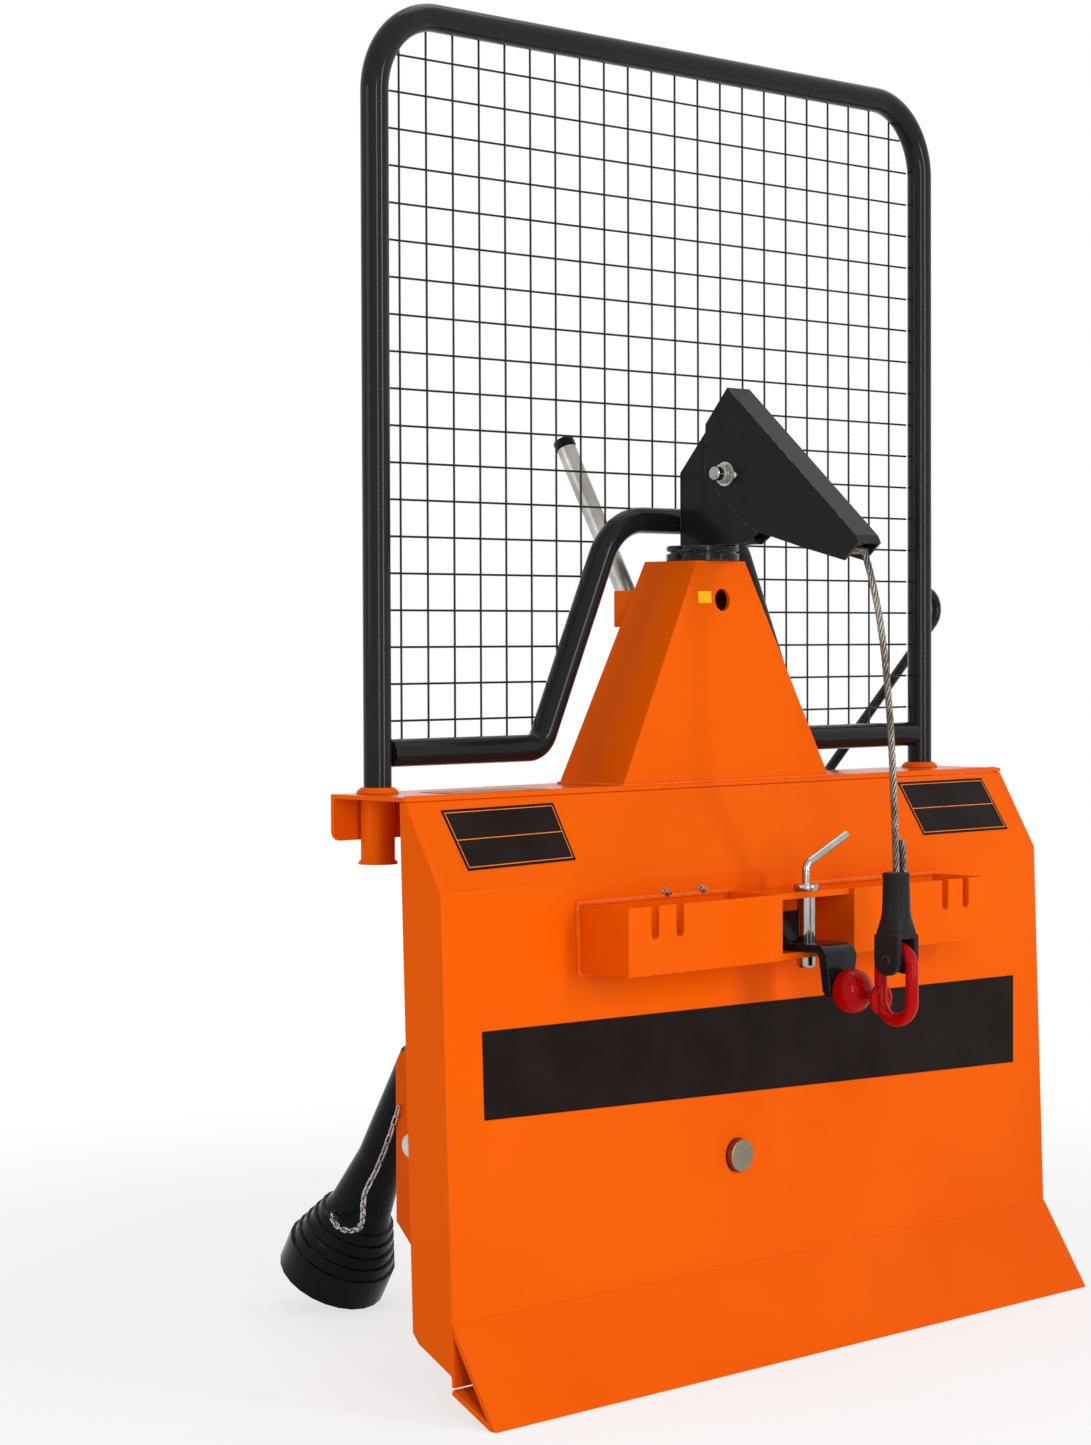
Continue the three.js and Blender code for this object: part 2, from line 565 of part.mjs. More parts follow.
function headFork() {
  const backY = swivel.y + fork.backReach;
  const at = ([u, v]) => [axle.y + u * sheaveRadius, axle.z + v * sheaveRadius];
  const toe = [axle.y + forkToeShare * sheaveRadius, forkBottomZ];
  const side = [[backY, forkBottomZ], [backY, axle.z + fork.plate], ...forkTopShares.map(at), toe];
  const backTopZ = axle.z - fork.plate;
  const body = join(
    prismX(side, -forkHalf, -fork.gap / 2),
    prismX(side, fork.gap / 2, forkHalf),
    block(-forkHalf, forkHalf, toe[0], backY, forkBottomZ, forkBottomZ + fork.base),
    block(-forkHalf, forkHalf, backY - fork.back, backY, forkBottomZ, backTopZ),
  );
  return cut(
    body,
    rodX(pivot.radius + seat, -nozzleOuter, nozzleOuter, axle.y, axle.z),
    rodZ(rope.radius + fork.base / 2, forkBottomZ - overrun, forkBottomZ + overrun, 0, swivel.y),
  );
}

// Sheave with its rope groove
function sheaveBody() {
  const half = sheave.width / 2;
  const grooveRadius = sheave.pitchRadius - rope.radius - seat;
  const grooveHalf = rope.radius + seat;
  const profile = [
    [pivot.radius + running, -half], [sheaveRadius, -half], [sheaveRadius, sheave.rimWidth - half],
    [grooveRadius, -grooveHalf],
    [grooveRadius, grooveHalf], [sheaveRadius, half - sheave.rimWidth], [sheaveRadius, half],
    [pivot.radius + running, half],
    [pivot.radius + running, -half],
  ];
  return latheX(profile, sides.large).translate(0, axle.y, axle.z);
}

// Pivot bolt with its head on the right, and the nut on its left end
const pivotBolt = () => join(
  rodX(pivot.radius, -nozzleOuter - pivot.endLength, nozzleOuter + seat + seat, axle.y, axle.z),
  rodX(pivot.headRadius, nozzleOuter + seat, nozzleOuter + seat + pivot.headHeight, axle.y, axle.z, 6),
);
const pivotNut = () => cut(
  solid(rodX(pivot.nutRadius, -nozzleOuter - seat - pivot.nutHeight, -nozzleOuter - seat, axle.y, axle.z, 6)),
  rodX(pivot.radius + seat, -nozzleOuter - overrun - pivot.nutHeight, 0, axle.y, axle.z),
);

// Nozzle arm
const mouthAt = ([u, v]) => [axle.y + u * nozzle.reach, axle.z + v * nozzle.reach];
const heelAt = ([u, v]) => [axle.y + u * sheaveRadius, axle.z + v * sheaveRadius];
const roller = mouthAt(rollerShare);

function nozzleShell() {
  const heel = nozzleHeelShares.map(heelAt);
  const tip = nozzleMouthShares.map(mouthAt);
  const side = [...heel, ...tip];
  const [crestA, crestB] = beside(tip[3], heel[0], -nozzle.strip);
  const [noseA, noseB] = beside(tip[2], tip[3], -nozzle.strip);
  const strip = [heel[0], tip[3], tip[2], noseA, crossing(noseA, noseB, crestA, crestB), crestB];
  const body = join(
    prismX(side, -nozzleOuter, -nozzleInner),
    prismX(side, nozzleInner, nozzleOuter),
    prismX(strip, -nozzleOuter, nozzleOuter),
  );
  return cut(
    body,
    rodX(pivot.radius + running, -nozzleOuter - overrun, nozzleOuter + overrun, axle.y, axle.z),
  );
}

const mouthRoller = () => join(
  rodX(nozzle.rollerRadius, seat - nozzleInner, nozzleInner - seat, ...roller),
);
const greaseNipple = () => rodX(
  nozzle.nippleRadius, -nozzleOuter - seat - nozzle.nippleHeight, -nozzleOuter - seat,
    ...heelAt(nippleShare), sides.small);

// Rope inside: up the tower from the drum, round the sheave, and along the nozzle to its mouth
const ropeRiser = () => rodZ(rope.radius, drum.z, axle.z - rope.cutGap, 0, swivel.y, rope.sides);
const sheavePoint = (degrees) => {
  const turn = THREE.MathUtils.degToRad(degrees);
  return [0, axle.y + sheave.pitchRadius * Math.cos(turn), axle.z + sheave.pitchRadius * Math.sin(turn)];
};
const sheaveWrap = { end: 66, steps: 8 };

function ropeOverSheave() {
  const points = [];
  for (let i = 0; i <= sheaveWrap.steps; i += 1) points.push(
    sheavePoint((sheaveWrap.end * i) / sheaveWrap.steps));
  return swept(points, rope.radius, rope.sides);
}

function ropeInNozzle() {
  const lift = nozzle.rollerRadius + rope.radius + running + running;
  const [ry, rz] = roller;
  const [dy, dz] = [ry - axle.y, rz + lift - axle.z];
  const run = Math.hypot(dy, dz);
  const leave = THREE.MathUtils.radToDeg(Math.atan2(dz,
    dy) - Math.acos(sheave.pitchRadius / run) + 2 * Math.PI);
  const start = sheavePoint(leave);
  const over = [0, ry, rz + lift];
  const shoulder = lift * Math.SQRT1_2;
  const bend = new THREE.Vector3(0, ry - shoulder, rz + shoulder);
  const end = new THREE.Vector3(0, mouth.y, mouth.z);
  end.add(bend.clone().sub(end).setLength(rope.radius + running));
  return swept([start, over, bend.toArray(), end.toArray()], rope.radius, rope.sides);
}

// Hanging rope end: rope, socket, pin, link and swivel
const hangingPoint = ([reach, drop]) => [0, mouth.y + (linkY - mouth.y) * reach,
  mouth.z + (socketTopZ + seat - mouth.z) * drop];
const hangingRope = () => join(
  swept(ropeLineShares.map(hangingPoint), rope.radius, rope.sides),
  new THREE.SphereGeometry(rope.radius, sides.small, rope.sides).translate(0, mouth.y, mouth.z),
);

function ropeSocket() {
  const shoulderTopZ = socketTopZ - ropeEnd.barrelLength;
  const legHalf = ropeEnd.legGap / 2 + ropeEnd.legThickness;
  const halfY = ropeEnd.legWidth / 2;
  const square = (x, y) => ({ x0: -x, x1: x, y0: linkY - y, y1: linkY + y });
  const barrel = rodZ(ropeEnd.barrelRadius, shoulderTopZ - seat, socketTopZ, 0, linkY, sides.medium);
  const shoulder = tapered(square(legHalf, halfY), square(ropeEnd.barrelRadius, ropeEnd.barrelRadius),
    shoulderZ, shoulderTopZ);
  const legs = [-1, 1].flatMap((side) => {
    const [a, b] = [side * ropeEnd.legGap / 2, side * legHalf].sort((p, q) => p - q);
    return [
      block(a, b, linkY - halfY, linkY + halfY, socketPinZ, shoulderZ + seat),
      rodX(halfY, a, b, linkY, socketPinZ, sides.medium),
    ];
  });
  return cut(join(barrel, shoulder, ...legs), rodX(ropeEnd.pinRadius + seat, -legHalf - overrun,
    legHalf + overrun, linkY, socketPinZ));
}

const socketPin = () => {
  const half = ropeEnd.legGap / 2 + ropeEnd.legThickness + ropeEnd.pinRadius / 4;
  return rodX(ropeEnd.pinRadius, -half, half, linkY, socketPinZ);
};

// A torus whose halves are drawn apart into a long link
function redLink() {
  const steps = 20;
  const link = new THREE.TorusGeometry(ropeEnd.linkHalfWidth, ropeEnd.linkRadius, 8,
    steps).rotateZ(Math.PI / steps);
  const places = link.attributes.position;
  for (let i = 0; i < places.count; i += 1) {
    places.setY(i, places.getY(i) + Math.sign(places.getY(i)) * ropeEnd.linkStraight / 2);
  }
  return link.applyMatrix4(axesX).translate(0, linkY, linkZ);
}

const eyeZ = swivelZ - ropeEnd.eyeLift;
const eyeRing = eyeBore + ropeEnd.eyeRadius;

function swivelEye() {
  const eye = new THREE.TorusGeometry(eyeRing, ropeEnd.eyeRadius, 8, sides.medium).translate(0, linkLegY,
    eyeZ);
  const neckFront = linkLegY + eyeRing;
  const neckBack = swivelBackY - ropeEnd.bodyLength - seat;
  const neck = rodY(ropeEnd.neckRadius, neckFront, neckBack, 0, swivelZ - ropeEnd.eyeLift / 2, sides.small);
  return join(eye, neck);
}

// Shares of the swivel body's length and of its radius
const swivelBodyShares = [[0, 0], [0, 0.84], [0.14, 0.95], [0.42, 1], [0.66, 0.93], [0.86, 0.7],
  [1, 0.36], [1, 0]];
const swivelBody = () => latheY(
  swivelBodyShares.map(([along, out]) => [out * ropeEnd.bodyRadius, -along * ropeEnd.bodyLength]),
  sides.medium,
).translate(0, swivelBackY, swivelZ);

// Chain bar arm: front plate with two chain slots, and a plate at each end
function chainBar(side) {
  const [inner, outer] = [bar.innerX, bar.outerX];
  const span = (a, b) => (side > 0 ? [a, b] : [-b, -a]);
  const web = [
    [barFrontY, bar.bottomZ], [faceY(bar.bottomZ) - seat, bar.bottomZ], [faceY(barTopZ) - seat, barTopZ],
    [barFrontY, barTopZ],
  ];
  const body = join(
    block(...span(inner, outer), barFrontY, barFrontY + sheet.bar, bar.bottomZ, barTopZ),
    prismX(web, ...span(inner, inner + sheet.bar)),
    prismX(web, ...span(outer - sheet.bar, outer)),
  );
  const slots = [bar.slotX, bar.slotX + bar.slotPitch].flatMap((x) => {
    const floorZ = barTopZ - bar.slotDepth + bar.slotWidth / 2;
    return [
      block(...span(x - bar.slotWidth / 2, x + bar.slotWidth / 2), barFrontY - overrun,
      barFrontY + overrun, floorZ, barTopZ + overrun),
      rodY(bar.slotWidth / 2, barFrontY - overrun, barFrontY + overrun, side * x, floorZ, sides.medium),
    ];
  });
  return cut(body, ...slots);
}

// Hitch clevis: upper and lower tab on a strap against the shield
function hitchClevis() {
  const half = bar.innerX - seat;
  const frontY = barFrontY + clevis.frontSetback;
  const tab = (z0) => prismX([
    [frontY, z0], [faceY(z0) - seat, z0], [faceY(z0 + sheet.tab) - seat, z0 + sheet.tab],
    [frontY, z0 + sheet.tab],
  ], -half, half);
  const strap = prismX([
    [faceY(bar.bottomZ) - seat - clevis.strapWidth, bar.bottomZ], [faceY(bar.bottomZ) - seat, bar.bottomZ],
    [faceY(barTopZ) - seat, barTopZ], [faceY(barTopZ) - seat - clevis.strapWidth, barTopZ],
  ], -half, half);
  const bore = rodZ(hitchPin.radius + running, bar.bottomZ - overrun, barTopZ + overrun, 0, hitchPinY);
  return cut(join(tab(bar.bottomZ), tab(barTopZ - sheet.tab), strap), bore);
}

// Hitch pin with its collar and bent handle
function hitchPinBody() {
  const endZ = bar.bottomZ - hitchPin.belowTab;
  const collarZ = barTopZ + seat;
  const stemZ = collarZ + hitchPin.collarHeight;
  const turned = latheZ([
    [0, endZ], [hitchPin.radius - hitchPin.chamfer, endZ], [hitchPin.radius, endZ + hitchPin.chamfer],
    [hitchPin.radius, collarZ],
    [hitchPin.collarRadius, collarZ], [hitchPin.collarRadius, stemZ], [0, stemZ],
  ], sides.medium).translate(0, hitchPinY, 0);
  const bend = rounded([
    [0, stemZ - seat], [0, stemZ + hitchPin.handleStem, hitchPin.collarRadius],
    [hitchPin.handleReach, stemZ + hitchPin.handleStem + hitchPin.handleRise],
  ], 4).map(([x, z]) => [x, hitchPinY, z]);
  return join(turned, swept(bend, hitchPin.handleRadius, sides.small));
}

// Hitch hook: a plate on the pin, with a lip down in front and a tail up behind
function hitchHook() {
  const lipZ = hookTopZ - hook.lipDrop - hook.plate / 2;
  const tailY = hitchPinY + hitchPin.radius + hook.tailStart;
  const side = rounded([
    [hookFrontY, lipZ], [hookFrontY + hook.lipThickness, lipZ], [hookFrontY + hook.lipThickness, hookBaseZ],
    [tailY + hook.tailThickness, hookBaseZ], [tailY + hook.tailThickness + hook.tailBack,
    hookTopZ + hook.tailRise],
    [tailY + hook.tailBack, hookTopZ + hook.tailRise], [tailY, hookTopZ],
    [hookFrontY, hookTopZ, hook.bendRadius], [hookFrontY, lipZ],
  ], 3).slice(0, -1);
  return cut(
    solid(prismX(side, -hook.halfWidth, hook.halfWidth)),
    rodZ(hitchPin.radius + running, hookBaseZ - overrun, hookTopZ + overrun, 0, hitchPinY),
  );
}

// Small bolts on the shield above the left arm
const faceBolt = { x: [-217, -143], radius: 6, height: 10, rise: 6 };
const faceBoltAt = (x) => rodY(
  faceBolt.radius, faceY(barTopZ + faceBolt.rise) - seat - faceBolt.height, faceY(barTopZ) - seat, x,
    barTopZ + faceBolt.rise, 6);

// Drum axle, welded through the shield and the rear plate
const axleFrontY = faceY(drum.z) - drum.axleProud;
const drumAxle = () => rodY(drum.axleRadius, axleFrontY, rearBackY + drum.axleProud, drum.x, drum.z,
  sides.large);

// Drum spool, open inside round the axle
function drumSpool() {
  const bore = drum.axleRadius + running;
  const [low, high] = [drum.frontY, drumBackY];
  const coreInner = drum.coreRadius - drum.coreWall;
  return latheY([
    [bore, low], [drum.flangeRadius, low], [drum.flangeRadius, low + drum.flange],
    [drum.coreRadius, low + drum.flange],
    [drum.coreRadius, high - drum.flange], [drum.flangeRadius, high - drum.flange],
    [drum.flangeRadius, high], [bore, high],
    [bore, high - drum.flange], [coreInner, high - drum.flange], [coreInner, low + drum.flange],
    [bore, low + drum.flange],
    [bore, low],
  ], sides.rim).translate(drum.x, 0, drum.z);
}

const ropeOnDrum = () => latheY(
  ring(drum.coreRadius + seat, windingRadius, drum.frontY + drum.flange + seat,
  drumBackY - drum.flange - seat), sides.rim,
).translate(drum.x, 0, drum.z);

// Toothed outline of a chain sprocket, centred on its axis
function toothed(teeth) {
  const pitchRadius = pitchRadiusOf(teeth);
  const points = [];
  const shares = [[0.18, chain.toothRise], [0.4, -chain.toothDip], [0.6, -chain.toothDip],
    [0.82, chain.toothRise]];
  for (let i = 0; i < teeth; i += 1) {
    for (const [share, rise] of shares) {
      const turn = ((i + share) / teeth) * 2 * Math.PI;
      points.push([(pitchRadius + rise) * Math.cos(turn), (pitchRadius + rise) * Math.sin(turn)]);
    }
  }
  return points;
}

const moved = (points, u, v) => points.map(([a, b]) => [a + u, b + v]);
const drumSprocket = () => cut(
  solid(prismY(moved(toothed(chain.drumTeeth), drum.x, drum.z), sprocketY, sprocketY + chain.width)),
  rodY(drum.axleRadius + running, sprocketY - overrun, sprocketY + overrun, drum.x, drum.z, sides.large),
);

// Input shaft: small sprocket, journal and the stub behind the rear plate
const stubEndY = rearBackY + input.bearingLength + input.stubLength;
const inputShaft = () => join(
  prismY(moved(toothed(chain.inputTeeth), drum.x, inputZ), sprocketY, sprocketY + chain.width),
  rodY(input.radius, sprocketY - chain.width, stubEndY - input.stubLength + seat, drum.x, inputZ),
  rodY(input.stubRadius, stubEndY - input.stubLength, stubEndY, drum.x, inputZ),
);
const inputBearing = () => latheY(
  ring(input.radius + running, input.bearingRadius, rearBackY + seat,
  rearBackY + input.bearingLength - seat), sides.medium,
).translate(drum.x, 0, inputZ);

// Roller chain as a closed band round both sprockets
function driveChain() {
  const loop = (extra) => {
    const large = pitchRadiusOf(chain.drumTeeth) + chain.toothRise + extra;
    const small = pitchRadiusOf(chain.inputTeeth) + chain.toothRise + extra;
    const lean = Math.asin((large - small) / chain.centres);
    const points = [];
    const arc = (radius, z, from, to, steps) => {
      const clear = radius / Math.cos((to - from) / steps / 2);
      for (let i = 0; i <= steps; i += 1) {
        const turn = from + ((to - from) * i) / steps;
        points.push([drum.x + clear * Math.cos(turn), z + clear * Math.sin(turn)]);
      }
    };
    arc(small, inputZ, lean, Math.PI - lean, 8);
    arc(large, drum.z, Math.PI - lean, 2 * Math.PI + lean, sides.medium);
    return points;
  };
  const shape = outline(loop(chain.band));
  shape.holes.push(new THREE.Path(loop(seat + seat).map(([u, v]) => new THREE.Vector2(u, v))));
  return extruded(shape, chain.width).applyMatrix4(axesY).translate(0, sprocketY + chain.width, 0);
}

// Rear bearing plate
function rearPlate() {
  const body = block(-rear.halfWidth, rear.halfWidth, rearFrontY, rearBackY, rear.bottomZ,
    shield.topZ - seat);
  return cut(
    solid(body),
    rodY(drum.axleRadius + seat, rearFrontY - overrun, rearBackY + overrun, drum.x, drum.z, sides.large),
    rodY(input.radius + running, rearFrontY - overrun, rearBackY + overrun, drum.x, inputZ, sides.large),
  );
}

const crossBeam = () => block(
  sheet.cheek + seat - cheek.outerX, cheek.outerX - sheet.cheek - seat, rearBackY + seat,
  rearBackY + seat + beam.depth,
  beam.bottomZ, beam.bottomZ + beam.height);

// Hitch cheek on one side, from the shield's back to behind the beam
function hitchCheek(side) {
  const topZ = cheek.bottomZ + cheek.height;
  const front = (z) => [faceBackY(z) + seat, z];
  const round = rounded([
    [...front(topZ)], [cheek.backY, topZ, cheek.topRound], [cheek.backY, cheek.bottomZ + cheek.chamfer],
  ], 4);
  const side2d = [
    ...round, [cheek.backY - cheek.chamfer, cheek.bottomZ], [rearFrontY, cheek.bottomZ], front(cheek.bottomZ),
  ];
  const span = side > 0 ? [cheek.outerX - sheet.cheek, cheek.outerX] : [-cheek.outerX,
    sheet.cheek - cheek.outerX];
  return cut(
    solid(prismX(side2d, ...span)),
    rodX(linkPin.radius + seat, span[0] - overrun, span[1] + overrun, cheek.backY - linkPin.setback,
    linkPin.z),
  );
}

// Lower link pin, through the cheek and inward
function linkPinBody(side) {
  const profile = [
    [0, -linkPin.length], [linkPin.radius, -linkPin.length], [linkPin.radius, seat],
    [linkPin.collarRadius, seat],
    [linkPin.collarRadius, seat + linkPin.collarLength], [0, seat + linkPin.collarLength],
  ];
  const pin = latheX(profile, sides.medium).translate(cheek.outerX, 0, 0);
  if (side < 0) pin.rotateZ(Math.PI);
  return pin.translate(0, cheek.backY - linkPin.setback, linkPin.z);
}

// Top link bracket: two ears on a base against the rear plate
function topLinkBracket() {
  const half = topLink.gap / 2;
  const [y0, y1] = [rearBackY + seat, rearBackY + seat + topLink.reach];
  const [z0, z1] = [topLink.z - topLink.height / 2, topLink.z + topLink.height / 2];
  const body = join(
    block(-half - topLink.plate, -half, y0, y1, z0, z1),
    block(half, half + topLink.plate, y0, y1, z0, z1),
    block(-half - topLink.plate, half + topLink.plate, y0, y0 + topLink.plate, z0, z1),
  );
  return cut(body, rodX(topLink.pinRadius + seat, -half - overrun, half + overrun,
    y1 - topLink.pinSetback, topLink.z));
}

const topLinkPin = () => {
  const half = topLink.gap / 2 + topLink.plate + topLink.pinOverhang;
  return rodX(topLink.pinRadius, -half, half, rearBackY + seat + topLink.reach - topLink.pinSetback,
    topLink.z);
};

// Standing leg under the cross beam
function standingLeg(side) {
  const x = side * leg.x;
  const y = rearBackY + seat + beam.depth / 2;
  const half = leg.width / 2;
  const foot = leg.footWidth / 2;
  return join(
    block(x - half, x + half, y - half, y + half, leg.footHeight / 2, beam.bottomZ - seat),
    block(x - foot, x + foot, y - foot, y + foot, 0, leg.footHeight),
  );
}

// Clutch lever bracket on the tower's back, and the lever
const leverPivotZ = towerTopZ - lever.pivotDrop;
const towerBackY = (z) => tower.backBaseY + ((tower.backTopY - tower.backBaseY) * (
  z - shield.topZ)) / tower.height;

function leverBracket() {
  const x1 = lever.x - lever.bossHalf - running;
  const lowZ = leverPivotZ - lever.bracketDrop;
  const highZ = leverPivotZ + lever.bracketRise;
  const endY = lever.pivotY + lever.bracketReach;
  const plate = prismX([
    [towerBackY(lowZ) + seat, lowZ], [endY, lowZ], [endY, highZ], [towerBackY(highZ) + seat, highZ],
  ], x1 - lever.bracketPlate, x1);
  return join(plate, rodX(lever.pinRadius, x1 - seat, lever.x + lever.bossHalf + lever.plugWall,
    lever.pivotY, leverPivotZ));
}

function leverTube() {
  const boss = rodX(lever.bossRadius, -lever.bossHalf, lever.bossHalf, 0, 0, sides.large);
  const tube = rodZ(lever.tubeRadius, 0, lever.tubeLength, 0, 0);
  return cut(join(boss, tube), rodX(lever.pinRadius + running, -lever.bossHalf - overrun,
    lever.bossHalf + overrun, 0, 0));
}

function leverPlug() {
  const z0 = lever.tubeLength + seat;
  return rodZ(lever.tubeRadius + lever.plugWall, z0, z0 + lever.plugLength, 0, 0);
}

// Brake lever: foot, straight bar and the open eye at its end
function brakeLeverBody() {
  const y = rearBackY + brakeLever.planeSetback;
  const knee = [brakePivotX + brakeLever.footRun, brakeLever.pivotZ + brakeLever.footRise];
  const neck = [knee[0] + brakeLever.reach, knee[1] + brakeLever.rise];
  const along = Math.atan2(brakeLever.rise, brakeLever.reach);
  const centre = [neck[0] - brakeLever.eyeRadius * Math.sin(along),
    neck[1] + brakeLever.eyeRadius * Math.cos(along)];
  const points = [[brakePivotX, brakeLever.pivotZ], knee, neck];
  for (let i = 1; i <= brakeLever.eyeSteps; i += 1) {
    const turn = along - Math.PI / 2 + THREE.MathUtils.degToRad(
      (brakeLever.eyeTurn * i) / brakeLever.eyeSteps);
    points.push([centre[0] + brakeLever.eyeRadius * Math.cos(turn),
      centre[1] + brakeLever.eyeRadius * Math.sin(turn)]);
  }
  const bar3d = swept(points.map(([x, z]) => [x, y, z]), brakeLever.radius, sides.small);
  const boss = rodY(
    brakeLever.bossRadius, top.backY + seat, y + brakeLever.radius, brakePivotX, brakeLever.pivotZ);
  return join(bar3d, boss);
}

// Peg that the drive shaft's upper yoke is parked on
function shaftHanger() {
  const half = shaft.bossWidth / 2;
  const stem = block(shaft.x - half, shaft.x + half, rearBackY + seat, pegY, shaft.pegZ - shaft.pegRadius,
    shaft.pegZ + shaft.pegRadius);
  const boss = rodX(shaft.bossRadius, shaft.x - half, shaft.x + half, pegY, shaft.pegZ);
  const peg = rodX(
    shaft.pegRadius, shaft.x - half - shaft.yokeEar - seat, shaft.x + half + shaft.yokeEar + seat, pegY,
      shaft.pegZ);
  return join(stem, boss, peg);
}

// Drive shaft, modelled hanging straight down from the peg and then leaned
const driveShaft = new THREE.Group();
driveShaft.position.set(shaft.x, pegY, shaft.pegZ);
driveShaft.rotation.x = shaftLean;
winch.add(driveShaft);

function yoke(earInner, width, neckLength, stemLength, stemRadius) {
  const ears = [-1, 1].flatMap((side) => {
    const [a, b] = [side * earInner, side * (earInner + shaft.yokeEar)].sort((p, q) => p - q);
    return [
      rodX(width / 2, a, b, 0, 0),
      block(a, b, -width / 2, width / 2, -neckLength, 0),
    ];
  });
  const base = block(-earInner - shaft.yokeEar, earInner + shaft.yokeEar, -width / 2, width / 2,
    -neckLength, shaft.yokeEar - neckLength);
  const stem = rodZ(stemRadius, -stemLength, shaft.yokeEar / 2 - neckLength, 0, 0);
  return cut(join(...ears, base, stem), rodX(shaft.pegRadius + running, -earInner - overrun,
    earInner + overrun, 0, 0));
}

const upperYoke = () => yoke(shaft.bossWidth / 2 + seat, shaft.yokeWidth, shaft.yokeNeck, shaft.innerEnd,
  shaft.innerRadius);

function upperGuard() {
  const bore = shaft.upperTubeRadius - shaft.tubeWall;
  const coneEnd = shaft.upperGuardStart + shaft.upperConeLength;
  const bearing = shaft.innerRadius + running;
  return latheZ([
    [shaft.upperConeRadius, -shaft.upperGuardStart], [shaft.upperTubeRadius, -coneEnd],
    [shaft.upperTubeRadius, -shaft.overlapEnd],
    [bore, -shaft.overlapEnd], [bore, -coneEnd - shaft.bearingLength],
    [bearing, -coneEnd - shaft.bearingLength],
    [bearing, -coneEnd], [bore, -coneEnd], [shaft.upperConeRadius - shaft.tubeWall, -shaft.upperGuardStart],
    [shaft.upperConeRadius, -shaft.upperGuardStart],
  ], sides.medium);
}

// Lower guard: tube, neck, ribbed cone and bell rim
function lowerGuard() {
  const rimStart = shaftLength - shaft.rimLength;
  const coneStart = rimStart - shaft.coneLength;
  const neckStart = coneStart - shaft.neckLength;
  const outer = [[lowerTubeRadius, -shaft.lowerStart], [lowerTubeRadius, -neckStart],
    [shaft.neckRadius, -coneStart]];
  for (let i = 1; i <= shaft.ribs; i += 1) {
    const share = i / (shaft.ribs + 1);
    const radius = shaft.neckRadius + (shaft.bellRadius - shaft.ribDepth - shaft.neckRadius) * share;
    const s = coneStart + shaft.coneLength * share;
    outer.push([radius, -s], [radius + shaft.ribDepth, -s]);
  }
  outer.push([shaft.bellRadius - shaft.ribDepth, -rimStart], [shaft.bellRadius, -rimStart],
    [shaft.bellRadius, -shaftLength]);
  const wall = shaft.tubeWall + shaft.ribDepth;
  const bearing = shaft.sleeveRadius + running;
  const inner = [
    [shaft.bellRadius - wall, -shaftLength], [shaft.bellRadius - wall, -rimStart],
    [shaft.neckRadius - wall, -coneStart],
    [bearing, -coneStart], [bearing, shaft.bearingLength - coneStart],
    [shaft.neckRadius - wall, shaft.bearingLength - coneStart],
    [lowerTubeRadius - shaft.tubeWall, -neckStart], [lowerTubeRadius - shaft.tubeWall, -shaft.lowerStart],
  ];
  return latheZ([...outer, ...inner, outer[0]], sides.large);
}

// Lower yoke and the sleeve that slides over the upper yoke's stem
function lowerYoke() {
  const earZ = shaft.yokeRecess + shaft.yokeWidth / 2 - shaftLength;
  const flipped = yoke(shaft.yokeWidth / 2, shaft.yokeWidth, shaft.yokeNeck,
    shaft.yokeNeck + shaft.yokeEar, shaft.sleeveRadius);
  const geometry = asGeometry(flipped).rotateX(Math.PI).translate(0, 0, earZ);
  const sleeveTop = shaft.sleeveOverlap - shaft.innerEnd;
  const sleeve = rodZ(shaft.sleeveRadius, earZ + shaft.yokeNeck - shaft.yokeEar / 2, sleeveTop, 0, 0);
  const bore = rodZ(shaft.innerRadius + running, -shaft.innerEnd - shaft.travel - overrun,
    sleeveTop + overrun, 0, 0);
  return cut(join(geometry, sleeve), bore);
}

// Assembly
place('front_shield', frontShield(), finish.orange);
place('docking_blade', dockingBlade(), finish.orange);
place('top_plate', topPlateBody(), finish.orange);
place('left_post_socket', postSocket(-postX), finish.orange);
place('right_post_socket', postSocket(postX), finish.orange);
place('tower', towerBody(), finish.orange);
place('guard_frame', swept(inGuardPlane(archLine), post.radius, sides.medium), finish.black);
place('guard_lower_tube', swept(inGuardPlane(lowerLine(lowerReach)), guard.tubeRadius, sides.medium),
  finish.black);
place('guard_mesh', guardMesh(), finish.wire);

place('left_chain_bar', chainBar(-1), finish.orange);
place('right_chain_bar', chainBar(1), finish.orange);
place('hitch_clevis', hitchClevis(), finish.orange);
place('hitch_pin', hitchPinBody(), finish.chrome);
place('hitch_hook', hitchHook(), finish.black);
place('left_face_bolt', faceBoltAt(faceBolt.x[0]), finish.chrome);
place('right_face_bolt', faceBoltAt(faceBolt.x[1]), finish.chrome);

place('swivel_collar', collar(), finish.black);
place('head_fork', headFork(), finish.black);
place('sheave', sheaveBody(), finish.steel);
place('pivot_bolt', pivotBolt(), finish.chrome);
place('pivot_nut', pivotNut(), finish.zinc);
place('nozzle_shell', nozzleShell(), finish.black);
place('mouth_roller', mouthRoller(), finish.steel);
place('grease_nipple', greaseNipple(), finish.zinc);
place('rope_riser', ropeRiser(), finish.ropeSteel);
place('rope_over_sheave', ropeOverSheave(), finish.ropeSteel);
place('rope_in_nozzle', ropeInNozzle(), finish.ropeSteel);

place('wire_rope', hangingRope(), finish.ropeSteel);
place('rope_socket', ropeSocket(), finish.plastic);
place('socket_pin', socketPin(), finish.black);
place('red_link', redLink(), finish.red);
place('swivel_eye', swivelEye(), finish.red);
place('swivel_body', swivelBody(), finish.red);

